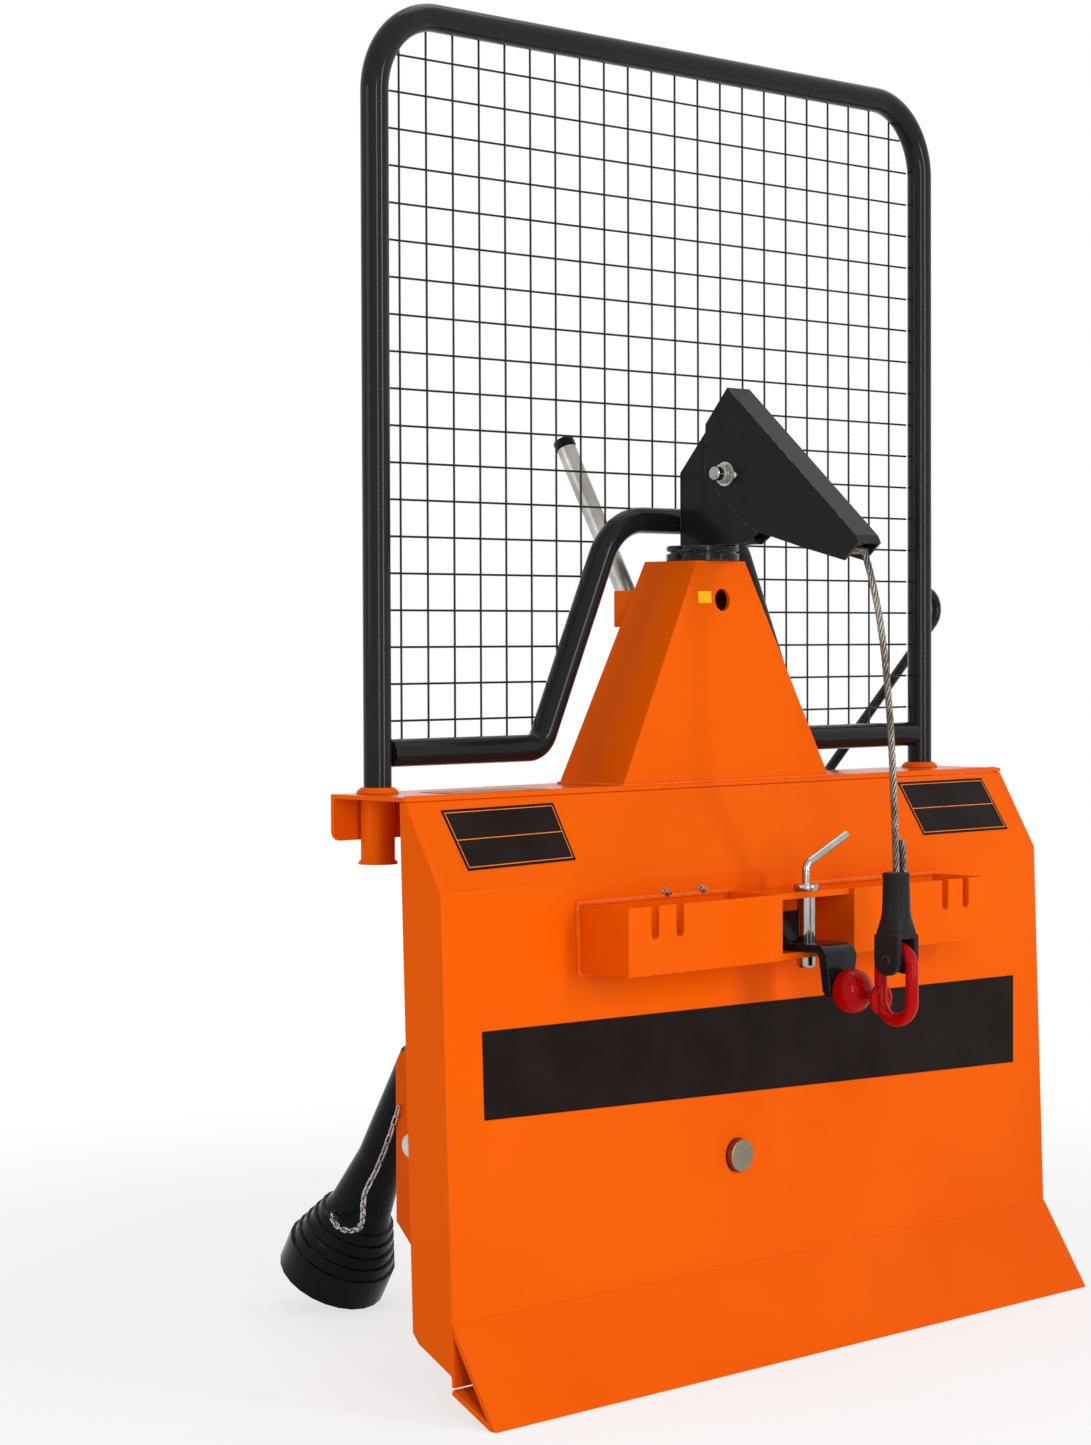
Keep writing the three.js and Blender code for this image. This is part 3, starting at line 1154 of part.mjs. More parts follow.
place('drum_axle', drumAxle(), finish.steel);
place('drum_spool', drumSpool(), finish.black);
place('rope_on_drum', ropeOnDrum(), finish.ropeSteel);
place('drum_sprocket', drumSprocket(), finish.steel);
place('input_shaft', inputShaft(), finish.steel);
place('input_bearing', inputBearing(), finish.black);
place('drive_chain', driveChain(), finish.zinc);

place('rear_plate', rearPlate(), finish.orange);
place('cross_beam', crossBeam(), finish.orange);
place('left_hitch_cheek', hitchCheek(-1), finish.orange);
place('right_hitch_cheek', hitchCheek(1), finish.orange);
place('left_link_pin', linkPinBody(-1), finish.zinc);
place('right_link_pin', linkPinBody(1), finish.zinc);
place('top_link_bracket', topLinkBracket(), finish.orange);
place('top_link_pin', topLinkPin(), finish.zinc);
place('left_leg', standingLeg(-1), finish.orange);
place('right_leg', standingLeg(1), finish.orange);

const leverGroup = new THREE.Group();
leverGroup.position.set(lever.x, lever.pivotY, leverPivotZ);
leverGroup.rotation.x = -THREE.MathUtils.degToRad(lever.lean);
winch.add(leverGroup);
place('lever_bracket', leverBracket(), finish.orange);
place('clutch_lever', leverTube(), finish.zinc, leverGroup);
place('lever_plug', leverPlug(), finish.plastic, leverGroup);
place('brake_lever', brakeLeverBody(), finish.black);

place('shaft_hanger', shaftHanger(), finish.orange);
place('upper_yoke', upperYoke(), finish.steel, driveShaft);
place('upper_guard', upperGuard(), finish.plastic, driveShaft);
place('lower_guard', lowerGuard(), finish.plastic, driveShaft);
place('lower_yoke', lowerYoke(), finish.steel, driveShaft);
place('guard_chain', swept(guardChainRoute, guardChain.radius, guardChain.sides), finish.chrome);

export default winch;
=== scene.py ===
"""Forestry skidding winch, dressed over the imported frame.

Sizes are in millimetres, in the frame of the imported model: +Z up and +Y towards the tractor, with the
origin in the middle of the digging edge. Meshes are turned into metres where they are made.
"""
from __future__ import annotations

import logging
import math
from abc import ABC, abstractmethod
from dataclasses import dataclass
from enum import Enum
from typing import Iterable, Sequence

import bmesh
import bpy
from mathutils import Matrix, Vector


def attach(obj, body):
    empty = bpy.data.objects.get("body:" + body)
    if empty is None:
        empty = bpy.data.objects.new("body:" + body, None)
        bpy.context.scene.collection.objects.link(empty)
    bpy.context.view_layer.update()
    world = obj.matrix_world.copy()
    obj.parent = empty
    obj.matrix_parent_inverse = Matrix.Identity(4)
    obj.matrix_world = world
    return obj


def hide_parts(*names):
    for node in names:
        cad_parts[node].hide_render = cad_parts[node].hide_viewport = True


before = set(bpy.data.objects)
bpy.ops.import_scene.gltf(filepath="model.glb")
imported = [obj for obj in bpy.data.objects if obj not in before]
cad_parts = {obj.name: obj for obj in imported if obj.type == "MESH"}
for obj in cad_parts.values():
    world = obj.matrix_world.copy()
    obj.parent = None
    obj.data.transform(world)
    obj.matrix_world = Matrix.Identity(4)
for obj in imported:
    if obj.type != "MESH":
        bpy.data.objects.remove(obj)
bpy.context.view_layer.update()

log = logging.getLogger("winch")

MM = 0.001
NODE_WIDTH = 200
NODE_HEIGHT = 260
NODES_IN_ROW = 12
MERGE_REACH = 0.004
FLAT_ANGLE = 0.6
BEVEL_ANGLE = 32.0

Point = tuple[float, float, float]
Flat = tuple[float, float]
Colour = tuple[float, float, float]


class Axis(Enum):
    """Direction that a form is extruded along or turned about."""

    X = 0
    Y = 1
    Z = 2


class Slot(Enum):
    """Material slots of the record."""

    ORANGE = "orange_paint"
    BLACK = "black_paint"
    MESH = "mesh_paint"
    RED = "red_paint"
    CHROME = "chrome_plate"
    ZINC = "zinc"
    STEEL = "bare_steel"
    ROPE = "rope_steel"
    PLASTIC = "black_plastic"


class Body(Enum):
    """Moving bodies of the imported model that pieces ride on."""

    FRAME = "frame"
    HEAD = "head"
    SHEAVE = "sheave"
    NOZZLE = "nozzle"
    ROLLER = "mouth_roller"
    ROPE_END = "rope_end"
    SWIVEL = "swivel_body"
    PIN = "hitch_pin"
    HOOK = "hitch_hook"
    DRUM = "drum"
    SPROCKET = "sprocket"
    INPUT = "input"
    CLUTCH = "clutch_lever"
    BRAKE = "brake_lever"
    SHAFT_UPPER = "shaft_upper"
    SHAFT_LOWER = "shaft_lower"


# Node trees


class Wiring:
    """Adds and links the nodes of one tree."""

    def __init__(self, tree: bpy.types.NodeTree) -> None:
        """Keeps the tree.

        Args:
            tree: the node tree that gets the nodes.
        """
        self.tree = tree
        self.count = 0

    def node(self, kind: str, **settings: object) -> bpy.types.Node:
        """Adds a node.

        Args:
            kind: the node's type name.
            settings: attributes to set on it.

        Returns:
            The new node.
        """
        made = self.tree.nodes.new(kind)
        row, place = divmod(self.count, NODES_IN_ROW)
        made.location = (NODE_WIDTH * place, -NODE_HEIGHT * row)
        self.count += 1
        for name, value in settings.items():
            setattr(made, name, value)
        return made

    def feed(self, target: bpy.types.Node, **values: object) -> bpy.types.Node:
        """Sets or links a node's inputs by name, with spaces written as underscores.

        Args:
            target: the node whose inputs are fed.
            values: a socket to link or a constant to set, by input name.

        Returns:
            The same node.
        """
        for name, value in values.items():
            self.plug(target.inputs[name.replace("_", " ")], value)
        return target

    def plug(self, socket: bpy.types.NodeSocket, value: object) -> None:
        """Links a socket to the input, or sets the input's constant."""
        if isinstance(value, bpy.types.NodeSocket):
            self.tree.links.new(value, socket)
        else:
            socket.default_value = value

    def math(self, operation: str, *values: object) -> bpy.types.NodeSocket:
        """Adds a Math node.

        Args:
            operation: the Math node's operation.
            values: its inputs in order.

        Returns:
            Its output.
        """
        made = self.node("ShaderNodeMath", operation=operation)
        for socket, value in zip(made.inputs, values):
            self.plug(socket, value)
        return made.outputs[0]

    def vector_math(self, operation: str, *values: object) -> bpy.types.Node:
        """Adds a Vector Math node and feeds its inputs in order, with Scale for a SCALE node."""
        made = self.node("ShaderNodeVectorMath", operation=operation)
        if operation == "SCALE":
            self.plug(made.inputs[0], values[0])
            self.plug(made.inputs["Scale"], values[1])
            return made
        for socket, value in zip(made.inputs, values):
            self.plug(socket, value)
        return made

    def remap(
        self, value: object, low: float, high: float, to_low: float = 0.0, to_high: float = 1.0,
    ) -> bpy.types.NodeSocket:
        """Maps a value from one range to another, clamped.

        Args:
            value: the socket to map.
            low: where the range starts.
            high: where it ends.
            to_low: what low becomes.
            to_high: what high becomes.

        Returns:
            The mapped value.
        """
        made = self.node("ShaderNodeMapRange")
        self.feed(made, Value=value, From_Min=low, From_Max=high, To_Min=to_low, To_Max=to_high)
        return made.outputs["Result"]

    def noise(
        self, scale: object, detail: float, roughness: float = 0.5, place: object | None = None,
    ) -> bpy.types.NodeSocket:
        """Adds noise over the object's own coordinates, or over others.

        Args:
            scale: its scale.
            detail: its detail.
            roughness: how strong the detail is.
            place: other coordinates, or None.

        Returns:
            The noise, from 0 to 1.
        """
        if place is None:
            place = self.node("ShaderNodeTexCoord").outputs["Object"]
        made = self.node("ShaderNodeTexNoise")
        self.feed(made, Vector=place, Scale=scale, Detail=detail, Roughness=roughness)
        return made.outputs[0]

    def mixed(self, factor: object, first: object, second: object) -> bpy.types.NodeSocket:
        """Mixes two colours by a factor.

        Args:
            factor: 0 for the first, 1 for the second.
            first: a colour or a socket.
            second: a colour or a socket.

        Returns:
            The mixed colour.
        """
        made = self.node("ShaderNodeMix", data_type="RGBA")
        self.plug(made.inputs[0], factor)
        self.plug(made.inputs[6], first)
        self.plug(made.inputs[7], second)
        return made.outputs[2]


GroupParts = tuple[bpy.types.NodeTree, Wiring, dict[str, bpy.types.NodeSocket], bpy.types.NodeSocket]


def shader_group(name: str, inputs: Sequence[tuple[str, float]], output: str) -> GroupParts:
    """Starts a shader node group of float inputs and one float output.

    Args:
        name: the group's name.
        inputs: each input's name and default.
        output: the output's name.

    Returns:
        The group, its wiring, its inputs by name and the socket that the result is linked to.
    """
    tree = bpy.data.node_groups.new(name, "ShaderNodeTree")
    for label, default in inputs:
        socket = tree.interface.new_socket(name=label, in_out="INPUT", socket_type="NodeSocketFloat")
        socket.default_value = default
    tree.interface.new_socket(name=output, in_out="OUTPUT", socket_type="NodeSocketFloat")
    wiring = Wiring(tree)
    entry = wiring.node("NodeGroupInput")
    leave = wiring.node("NodeGroupOutput")
    return tree, wiring, {label: entry.outputs[label] for label, _ in inputs}, leave.inputs[output]


def edge_wear_and_sheen_group() -> bpy.types.NodeTree:
    """Builds the group that marks a piece's outer edges, broken up by noise, for wear and a painted sheen on
    them.

    Returns:
        The group, with a Mask output.
    """
    reach, detail = 2.2, 4.0
    edge_shares, patch_shares = (0.995, 0.9), (0.42, 0.66)
    tree, w, given, result = shader_group("edge wear", (("Scale", 90.0), ("Amount", 0.5)), "Mask")
    # The edges marked here are painted lighter: partly wear, partly a painted sheen standing in for
    # highlights on the bevels.
    soft = w.feed(w.node("ShaderNodeBevel", samples=4), Radius=reach * MM)
    flat = w.node("ShaderNodeNewGeometry")
    facing = w.vector_math("DOT_PRODUCT", soft.outputs["Normal"], flat.outputs["Normal"]).outputs["Value"]
    patch = w.remap(w.noise(given["Scale"], detail), *patch_shares)
    marked = w.math("MULTIPLY", w.remap(facing, *edge_shares), patch)
    w.plug(result, w.math("MULTIPLY", marked, given["Amount"]))
    return tree


def orange_peel_group() -> bpy.types.NodeTree:
    """Builds the group for the fine ripple of sprayed paint and moulded plastic.

    Returns:
        The group, with a Height output.
    """
    fine_detail, broad_scale, broad_detail = 2.0, 14.0, 1.0
    tree, w, given, result = shader_group("paint ripple", (("Scale", 260.0), ("Waviness", 0.35)), "Height")
    broad = w.math("MULTIPLY", w.noise(broad_scale, broad_detail), given["Waviness"])
    w.plug(result, w.math("ADD", w.noise(given["Scale"], fine_detail), broad))
    return tree


def tone_group() -> bpy.types.NodeTree:
    """Builds the group for slow changes of tone over a surface.

    Returns:
        The group, with a Mask output from 0 to Amount.
    """
    detail, shares = 3.0, (0.3, 0.7)
    tree, w, given, result = shader_group("tone", (("Scale", 3.0), ("Amount", 0.5)), "Mask")
    w.plug(result, w.math("MULTIPLY", w.remap(w.noise(given["Scale"], detail), *shares), given["Amount"]))
    return tree


def dust_group() -> bpy.types.NodeTree:
    """Builds the group for the light dust that settles on faces that look up.

    Returns:
        The group, with a Mask output.
    """
    detail, upward_shares, speckle_shares = 6.0, (0.5, 1.0), (0.4, 0.75)
    tree, w, given, result = shader_group("settled dust", (("Scale", 30.0), ("Amount", 0.2)), "Mask")
    normal = w.node("ShaderNodeNewGeometry").outputs["Normal"]
    upward = w.vector_math("DOT_PRODUCT", normal, (0.0, 0.0, 1.0)).outputs["Value"]
    speckle = w.remap(w.noise(given["Scale"], detail), *speckle_shares)
    lying = w.math("MULTIPLY", w.remap(upward, *upward_shares), speckle)
    w.plug(result, w.math("MULTIPLY", lying, given["Amount"]))
    return tree


def brushing_group() -> bpy.types.NodeTree:
    """Builds the group for the fine lines that grinding, drawing or turning leaves.

    Returns:
        The group, with a Height output.
    """
    detail, roughness = 5.0, 0.7
    ways = ("Along X", "Along Y", "Along Z")
    inputs = (("Scale", 40.0), *((way, 1.0) for way in ways))
    tree, w, given, result = shader_group("brushing", inputs, "Height")
    place = w.node("ShaderNodeTexCoord").outputs["Object"]
    stretch = w.node("ShaderNodeCombineXYZ")
    for socket, way in zip(stretch.inputs, ways):
        w.plug(socket, given[way])
    drawn = w.vector_math("MULTIPLY", place, stretch.outputs[0]).outputs["Vector"]
    w.plug(result, w.noise(given["Scale"], detail, roughness, drawn))
    return tree


class Effects:
    """The shader groups that more than one finish uses."""

    def __init__(self) -> None:
        """Builds each group once."""
        self.edge = edge_wear_and_sheen_group()
        self.peel = orange_peel_group()
        self.tone = tone_group()
        self.dust = dust_group()
        self.brushing = brushing_group()

    @staticmethod
    def placed(wiring: Wiring, group: bpy.types.NodeTree, **values: float) -> bpy.types.NodeSocket:
        """Puts a group in a material.

        Args:
            wiring: the material's wiring.
            group: the group.
            values: its inputs by name, with underscores for spaces.

        Returns:
            The group's output.
        """
        node = wiring.node("ShaderNodeGroup", node_tree=group)
        wiring.feed(node, **values)
        return node.outputs[0]


def shader(name: str) -> tuple[bpy.types.Material, Wiring, bpy.types.Node]:
    """Starts a material.

    Args:
        name: the material's name.

    Returns:
        The material, its wiring and its Principled BSDF.
    """
    material = bpy.data.materials.new(name)
    material.use_nodes = True
    material.node_tree.nodes.clear()
    wiring = Wiring(material.node_tree)
    principled = wiring.node("ShaderNodeBsdfPrincipled")
    leave = wiring.node("ShaderNodeOutputMaterial")
    wiring.plug(leave.inputs["Surface"], principled.outputs["BSDF"])
    return material, wiring, principled


def with_bump(
    wiring: Wiring, principled: bpy.types.Node, height: bpy.types.NodeSocket, strength: float, depth: float,
) -> None:
    """Feeds a height into the material's normal.

    Args:
        wiring: the material's wiring.
        principled: its Principled BSDF.
        height: the height, from 0 to about 1.
        strength: how strongly it shows.
        depth: the depth in millimetres.
    """
    bump = wiring.feed(wiring.node("ShaderNodeBump"), Strength=strength, Distance=depth * MM, Height=height)
    wiring.plug(principled.inputs["Normal"], bump.outputs["Normal"])


def opaque(colour: Colour) -> tuple[float, float, float, float]:
    """Returns a colour with full cover."""
    return (*colour, 1.0)


class Surface(ABC):
    """What a piece is coated with or made of."""

    roughness: float
    smoother: float
    rougher: float

    def spread(self) -> Flat:
        """Returns the lowest and the highest roughness."""
        return self.roughness - self.smoother, self.roughness + self.rougher

    @abstractmethod
    def material(self, effects: Effects) -> bpy.types.Material:
        """Makes the surface's material.

        Args:
            effects: the shared shader groups.

        Returns:
            The material.
        """


@dataclass(frozen=True)
class Paint(Surface):
    """Powder coat over steel."""

    name: str
    colour: Colour
    deep: Colour
    # Edge colour: worn paint and a painted sheen on the bevels.
    worn_and_sheen: Colour
    roughness: float
    coat: float
    wear_and_sheen: float
    ripple: float = 0.12
    dust: float = 0.05
    shine: float = 0.3
    tone_scale: float = 2.6
    wear_scale: float = 120.0
    dust_scale: float = 45.0
    dust_colour: Colour = (0.55, 0.5, 0.43)
    dust_roughness: float = 0.6
    smoother: float = 0.04
    rougher: float = 0.05
    coat_roughness: float = 0.08
    ripple_scale: float = 240.0
    waviness: float = 1.6
    depth: float = 0.35

    def material(self, effects: Effects) -> bpy.types.Material:
        """Makes the paint with its tone, edges lightened by wear and a painted sheen, dust and ripple."""
        material, w, body = shader(self.name)
        tone = effects.placed(w, effects.tone, Scale=self.tone_scale, Amount=1.0)
        edge = effects.placed(w, effects.edge, Scale=self.wear_scale, Amount=self.wear_and_sheen)
        dust = effects.placed(w, effects.dust, Scale=self.dust_scale, Amount=self.dust)
        base = w.mixed(tone, opaque(self.colour), opaque(self.deep))
        # The edges are painted lighter: partly wear, partly a painted sheen standing in for highlights on the
        # bevels.
        base = w.mixed(edge, base, opaque(self.worn_and_sheen))
        base = w.mixed(dust, base, opaque(self.dust_colour))
        rough = w.remap(tone, 0.0, 1.0, *self.spread())
        rough = w.math("ADD", rough, w.math("MULTIPLY", dust, self.dust_roughness))
        w.feed(
            body, Base_Color=base, Roughness=rough, Specular_IOR_Level=self.shine, Coat_Weight=self.coat,
            Coat_Roughness=self.coat_roughness)
        ripple = effects.placed(w, effects.peel, Scale=self.ripple_scale, Waviness=self.waviness)
        with_bump(w, body, ripple, self.ripple, self.depth)
        return material


@dataclass(frozen=True)
class Metal(Surface):
    """Bare or plated metal with its machining lines."""

    name: str
    colour: Colour
    dull: Colour
    roughness: float
    lines: Point
    scale: float
    depth: float
    wear_and_sheen: float = 0.25
    bright: Colour = (0.9, 0.9, 0.88)
    tone_scale: float = 16.0
    tone_roughness: float = 0.05
    wear_scale: float = 160.0
    line_shares: Flat = (0.3, 0.7)
    smoother: float = 0.05
    rougher: float = 0.07
    strength: float = 0.25

    def material(self, effects: Effects) -> bpy.types.Material:
        """Makes the metal with its lines, tone and edges painted bright, partly by wear and partly as a
        painted highlight.
        """
        material, w, body = shader(self.name)
        along_x, along_y, along_z = self.lines
        lines = effects.placed(
            w, effects.brushing, Scale=self.scale, Along_X=along_x, Along_Y=along_y, Along_Z=along_z)
        tone = effects.placed(w, effects.tone, Scale=self.tone_scale, Amount=1.0)
        edge = effects.placed(w, effects.edge, Scale=self.wear_scale, Amount=self.wear_and_sheen)
        # The edges are painted bright: partly wear, partly a painted highlight.
        base = w.mixed(edge, w.mixed(tone, opaque(self.colour), opaque(self.dull)), opaque(self.bright))
        rough = w.remap(lines, *self.line_shares, *self.spread())
        rough = w.math("ADD", rough, w.math("MULTIPLY", tone, self.tone_roughness))
        w.feed(body, Base_Color=base, Roughness=rough, Metallic=1.0)
        with_bump(w, body, lines, self.strength, self.depth)
        return material


@dataclass(frozen=True)
class Plastic(Surface):
    """Moulded or dipped plastic."""

    name: str
    colour: Colour
    scuffed: Colour
    roughness: float
    grain: float = 420.0
    shine: float = 0.1
    tone_scale: float = 9.0
    scuff_scale: float = 110.0
    scuffs: float = 0.5
    scuff_roughness: float = 0.2
    dust_scale: float = 60.0
    dust: float = 0.18
    dust_colour: Colour = (0.3, 0.28, 0.25)
    smoother: float = 0.05
    rougher: float = 0.1
    waviness: float = 0.6
    strength: float = 0.3
    depth: float = 0.25

    def material(self, effects: Effects) -> bpy.types.Material:
        """Makes the plastic with its scuffs, dust and grain."""
        material, w, body = shader(self.name)
        tone = effects.placed(w, effects.tone, Scale=self.tone_scale, Amount=1.0)
        edge = effects.placed(w, effects.edge, Scale=self.scuff_scale, Amount=self.scuffs)
        dust = effects.placed(w, effects.dust, Scale=self.dust_scale, Amount=self.dust)
        base = w.mixed(edge, opaque(self.colour), opaque(self.scuffed))
        base = w.mixed(dust, base, opaque(self.dust_colour))
        rough = w.remap(tone, 0.0, 1.0, *self.spread())
        rough = w.math("ADD", rough, w.math("MULTIPLY", edge, self.scuff_roughness))
        w.feed(body, Base_Color=base, Roughness=rough, Specular_IOR_Level=self.shine)
        grain = effects.placed(w, effects.peel, Scale=self.grain, Waviness=self.waviness)
        with_bump(w, body, grain, self.strength, self.depth)
        return material


@dataclass(frozen=True)
class Film(Surface):
    """Plain vinyl film on the paint."""

    name: str
    colour: Colour
    roughness: float
    shine: float = 0.04
    tone_scale: float = 12.0
    lighter_share: float = 1.25
    lift: float = 0.004
    scuff_scale: float = 30.0
    scuff_lines: Point = (0.6, 1.0, 6.0)
    scuff_shares: Flat = (0.35, 0.75)
    smoother: float = 0.05
    rougher: float = 0.12
    ripple_scale: float = 180.0
    waviness: float = 2.0
    strength: float = 0.1
    depth: float = 0.15

    def material(self, effects: Effects) -> bpy.types.Material:
        """Makes the film with its scuffs and ripple."""
        material, w, body = shader(self.name)
        along_x, along_y, along_z = self.scuff_lines
        tone = effects.placed(w, effects.tone, Scale=self.tone_scale, Amount=1.0)
        scuffs = effects.placed(
            w, effects.brushing, Scale=self.scuff_scale, Along_X=along_x, Along_Y=along_y, Along_Z=along_z)
        lighter = tuple(min(1.0, part * self.lighter_share + self.lift) for part in self.colour)
        rough = w.remap(scuffs, *self.scuff_shares, *self.spread())
        base = w.mixed(tone, opaque(self.colour), opaque(lighter))
        w.feed(body, Base_Color=base, Roughness=rough, Specular_IOR_Level=self.shine)
        ripple = effects.placed(w, effects.peel, Scale=self.ripple_scale, Waviness=self.waviness)
        with_bump(w, body, ripple, self.strength, self.depth)
        return material


@dataclass(frozen=True)
class Look:
    """A finish and the record's slot that it belongs to."""

    material: bpy.types.Material
    slot: Slot


class Finishes:
    """Every finish of the winch, made once."""

    def __init__(self) -> None:
        """Builds the materials."""
        self.effects = Effects()
        # Orange: the faintly lighter edges are partly wear, partly a painted sheen.
        self.orange = self.look(Slot.ORANGE, Paint(
            "orange powder coat", (0.82, 0.112, 0.0004), (0.76, 0.095, 0.0004), (0.92, 0.2, 0.02),
            roughness=0.2, coat=0.0, wear_and_sheen=0.25, ripple=0.1, dust=0.02, shine=0.03))
        self.weld = self.look(Slot.ORANGE, Paint(
            "painted weld", (0.84, 0.12, 0.0006), (0.74, 0.095, 0.0006), (0.93, 0.34, 0.08),
            roughness=0.14, coat=0.02, wear_and_sheen=0.4, shine=0.1))
        # Black: the grey edges, at 0.8 of the mask, are mostly a painted highlight along the bevels, with a
        # little wear.
        self.black = self.look(Slot.BLACK, Paint(
            "black powder coat", (0.0122, 0.0128, 0.0124), (0.0085, 0.009, 0.009), (0.2, 0.2, 0.2),
            roughness=0.15, coat=0.02, wear_and_sheen=0.8, ripple=0.07, dust=0.0, shine=0.12))
        self.wire = self.look(Slot.MESH, Paint(
            "black mesh coat", (0.014, 0.014, 0.014), (0.009, 0.009, 0.009), (0.06, 0.06, 0.06),
            roughness=0.3, coat=0.0, wear_and_sheen=0.2, ripple=0.08, dust=0.0, shine=0.15))
        self.red = self.look(Slot.RED, Paint(
            "red gloss coat", (0.38, 0.0012, 0.0008), (0.28, 0.001, 0.0006), (0.5, 0.01, 0.01),
            roughness=0.14, coat=0.03, wear_and_sheen=0.15, ripple=0.1, dust=0.0, shine=0.08))
        self.chrome = self.look(Slot.CHROME, Metal(
            "bright plate", (0.5, 0.49, 0.47), (0.3, 0.29, 0.27),
            roughness=0.14, lines=(1.0, 1.0, 0.2), scale=90.0, depth=0.03))
        self.zinc = self.look(Slot.ZINC, Metal(
            "zinc plate", (0.56, 0.56, 0.54), (0.4, 0.4, 0.38),
            roughness=0.34, lines=(1.0, 1.0, 1.0), scale=110.0, depth=0.06))
        self.steel = self.look(Slot.STEEL, Metal(
            "machined steel", (0.28, 0.235, 0.165), (0.19, 0.16, 0.11),
            roughness=0.3, lines=(1.0, 0.15, 1.0), scale=120.0, depth=0.08))
        self.lever = self.look(Slot.ZINC, Metal(
            "drawn lever tube", (0.56, 0.54, 0.49), (0.34, 0.32, 0.29),
            roughness=0.28, lines=(3.0, 1.0, 0.6), scale=40.0, depth=0.03))
        self.rope = self.look(Slot.ROPE, Metal(
            "rope wire", (0.32, 0.295, 0.25), (0.04, 0.036, 0.03),
            roughness=0.22, lines=(3.0, 3.0, 1.2), scale=260.0, depth=0.12))
        self.plastic = self.look(Slot.PLASTIC, Plastic(
            "black moulded plastic", (0.003, 0.003, 0.0028), (0.02, 0.02, 0.02), roughness=0.2))
        self.boot = self.look(Slot.PLASTIC, Plastic(
            "dipped boot", (0.012, 0.012, 0.012), (0.06, 0.06, 0.06), roughness=0.42, grain=300.0))
        self.band = self.look(Slot.BLACK, Film("black film", (0.0085, 0.0045, 0.0038), roughness=0.3))
        self.line = self.look(Slot.BLACK, Film("orange film line", (0.75, 0.19, 0.03), roughness=0.4))
        self.yellow = self.look(Slot.BLACK, Film("yellow film", (0.85, 0.42, 0.01), roughness=0.4))
        self.pale = self.look(Slot.BLACK, Film("pale film", (0.5, 0.19, 0.06), roughness=0.35))

    def look(self, slot: Slot, surface: Surface) -> Look:
        """Makes a surface's material and files it under a slot.

        Args:
            slot: the slot.
            surface: the surface.

        Returns:
            The look.
        """
        return Look(surface.material(self.effects), slot)


# Forms


def placed_on(axis: Axis, u: float, v: float, w: float) -> Point:
    """Turns a flat point and a height along an axis into a point in space."""
    return {Axis.X: (w, u, v), Axis.Y: (u, w, v), Axis.Z: (u, v, w)}[axis]


def rounded(corners: Sequence[tuple[float, ...]], steps: int) -> list[Flat]:
    """Rounds the corners of a flat open line.

    Args:
        corners: (u, v) or (u, v, radius) each.
        steps: the points that each rounded corner gets, less one.

    Returns:
        The line's points.
    """
    line: list[Flat] = []
    for index, corner in enumerate(corners):
        if len(corner) < 3 or corner[2] <= 0:
            line.append((corner[0], corner[1]))
            continue
        here = Vector(corner[:2])
        back = (Vector(corners[index - 1][:2]) - here).normalized()
        ahead = (Vector(corners[(index + 1) % len(corners)][:2]) - here).normalized()
        half = back.angle(ahead) / 2
        centre = here + (back + ahead).normalized() * (corner[2] / math.sin(half))
        start = here + back * (corner[2] / math.tan(half)) - centre
        end = here + ahead * (corner[2] / math.tan(half)) - centre
        turn = math.atan2(start.x * end.y - start.y * end.x, start.dot(end))
        for step in range(steps + 1):
            angle = turn * step / steps
            line.append((
                centre.x + start.x * math.cos(angle) - start.y * math.sin(angle),
                centre.y + start.x * math.sin(angle) + start.y * math.cos(angle)))
    return line


def smoothed(points: Sequence[Point], steps: int) -> list[Point]:
    """Draws a smooth line through points.

    Args:
        points: the points that it passes.
        steps: the stretches between two of them.

    Returns:
        The line's points.
    """
    line: list[Point] = []
    knots = [Vector(point) for point in points]
    for index in range(len(knots) - 1):
        before = knots[max(index - 1, 0)]
        start, end = knots[index], knots[index + 1]
        after = knots[min(index + 2, len(knots) - 1)]
        for step in range(steps):
            t = step / steps
            place = 0.5 * (
                2 * start + (end - before) * t + (2 * before - 5 * start + 4 * end - after) * t * t
                + (3 * start - before - 3 * end + after) * t ** 3)
            line.append(tuple(place))
    line.append(tuple(knots[-1]))
    return line


def circle(radius: float, count: int, centre: Flat = (0.0, 0.0)) -> list[Flat]:
    """Returns the points of a circle."""
    turns = (2 * math.pi * index / count for index in range(count))
    return [(centre[0] + radius * math.cos(turn), centre[1] + radius * math.sin(turn)) for turn in turns]


def line_length(points: Sequence[Point]) -> float:
    """Returns the length of a line through points."""
    return sum((Vector(end) - Vector(start)).length for start, end in zip(points, points[1:]))


def shifted(points: Sequence[Flat], u: float, v: float) -> list[Flat]:
    """Returns flat points moved by u and v."""
    return [(u + point[0], v + point[1]) for point in points]


def in_metres(points: Sequence[Point]) -> list[Point]:
    """Returns points in metres from points in millimetres."""
    return [tuple(part * MM for part in point) for point in points]


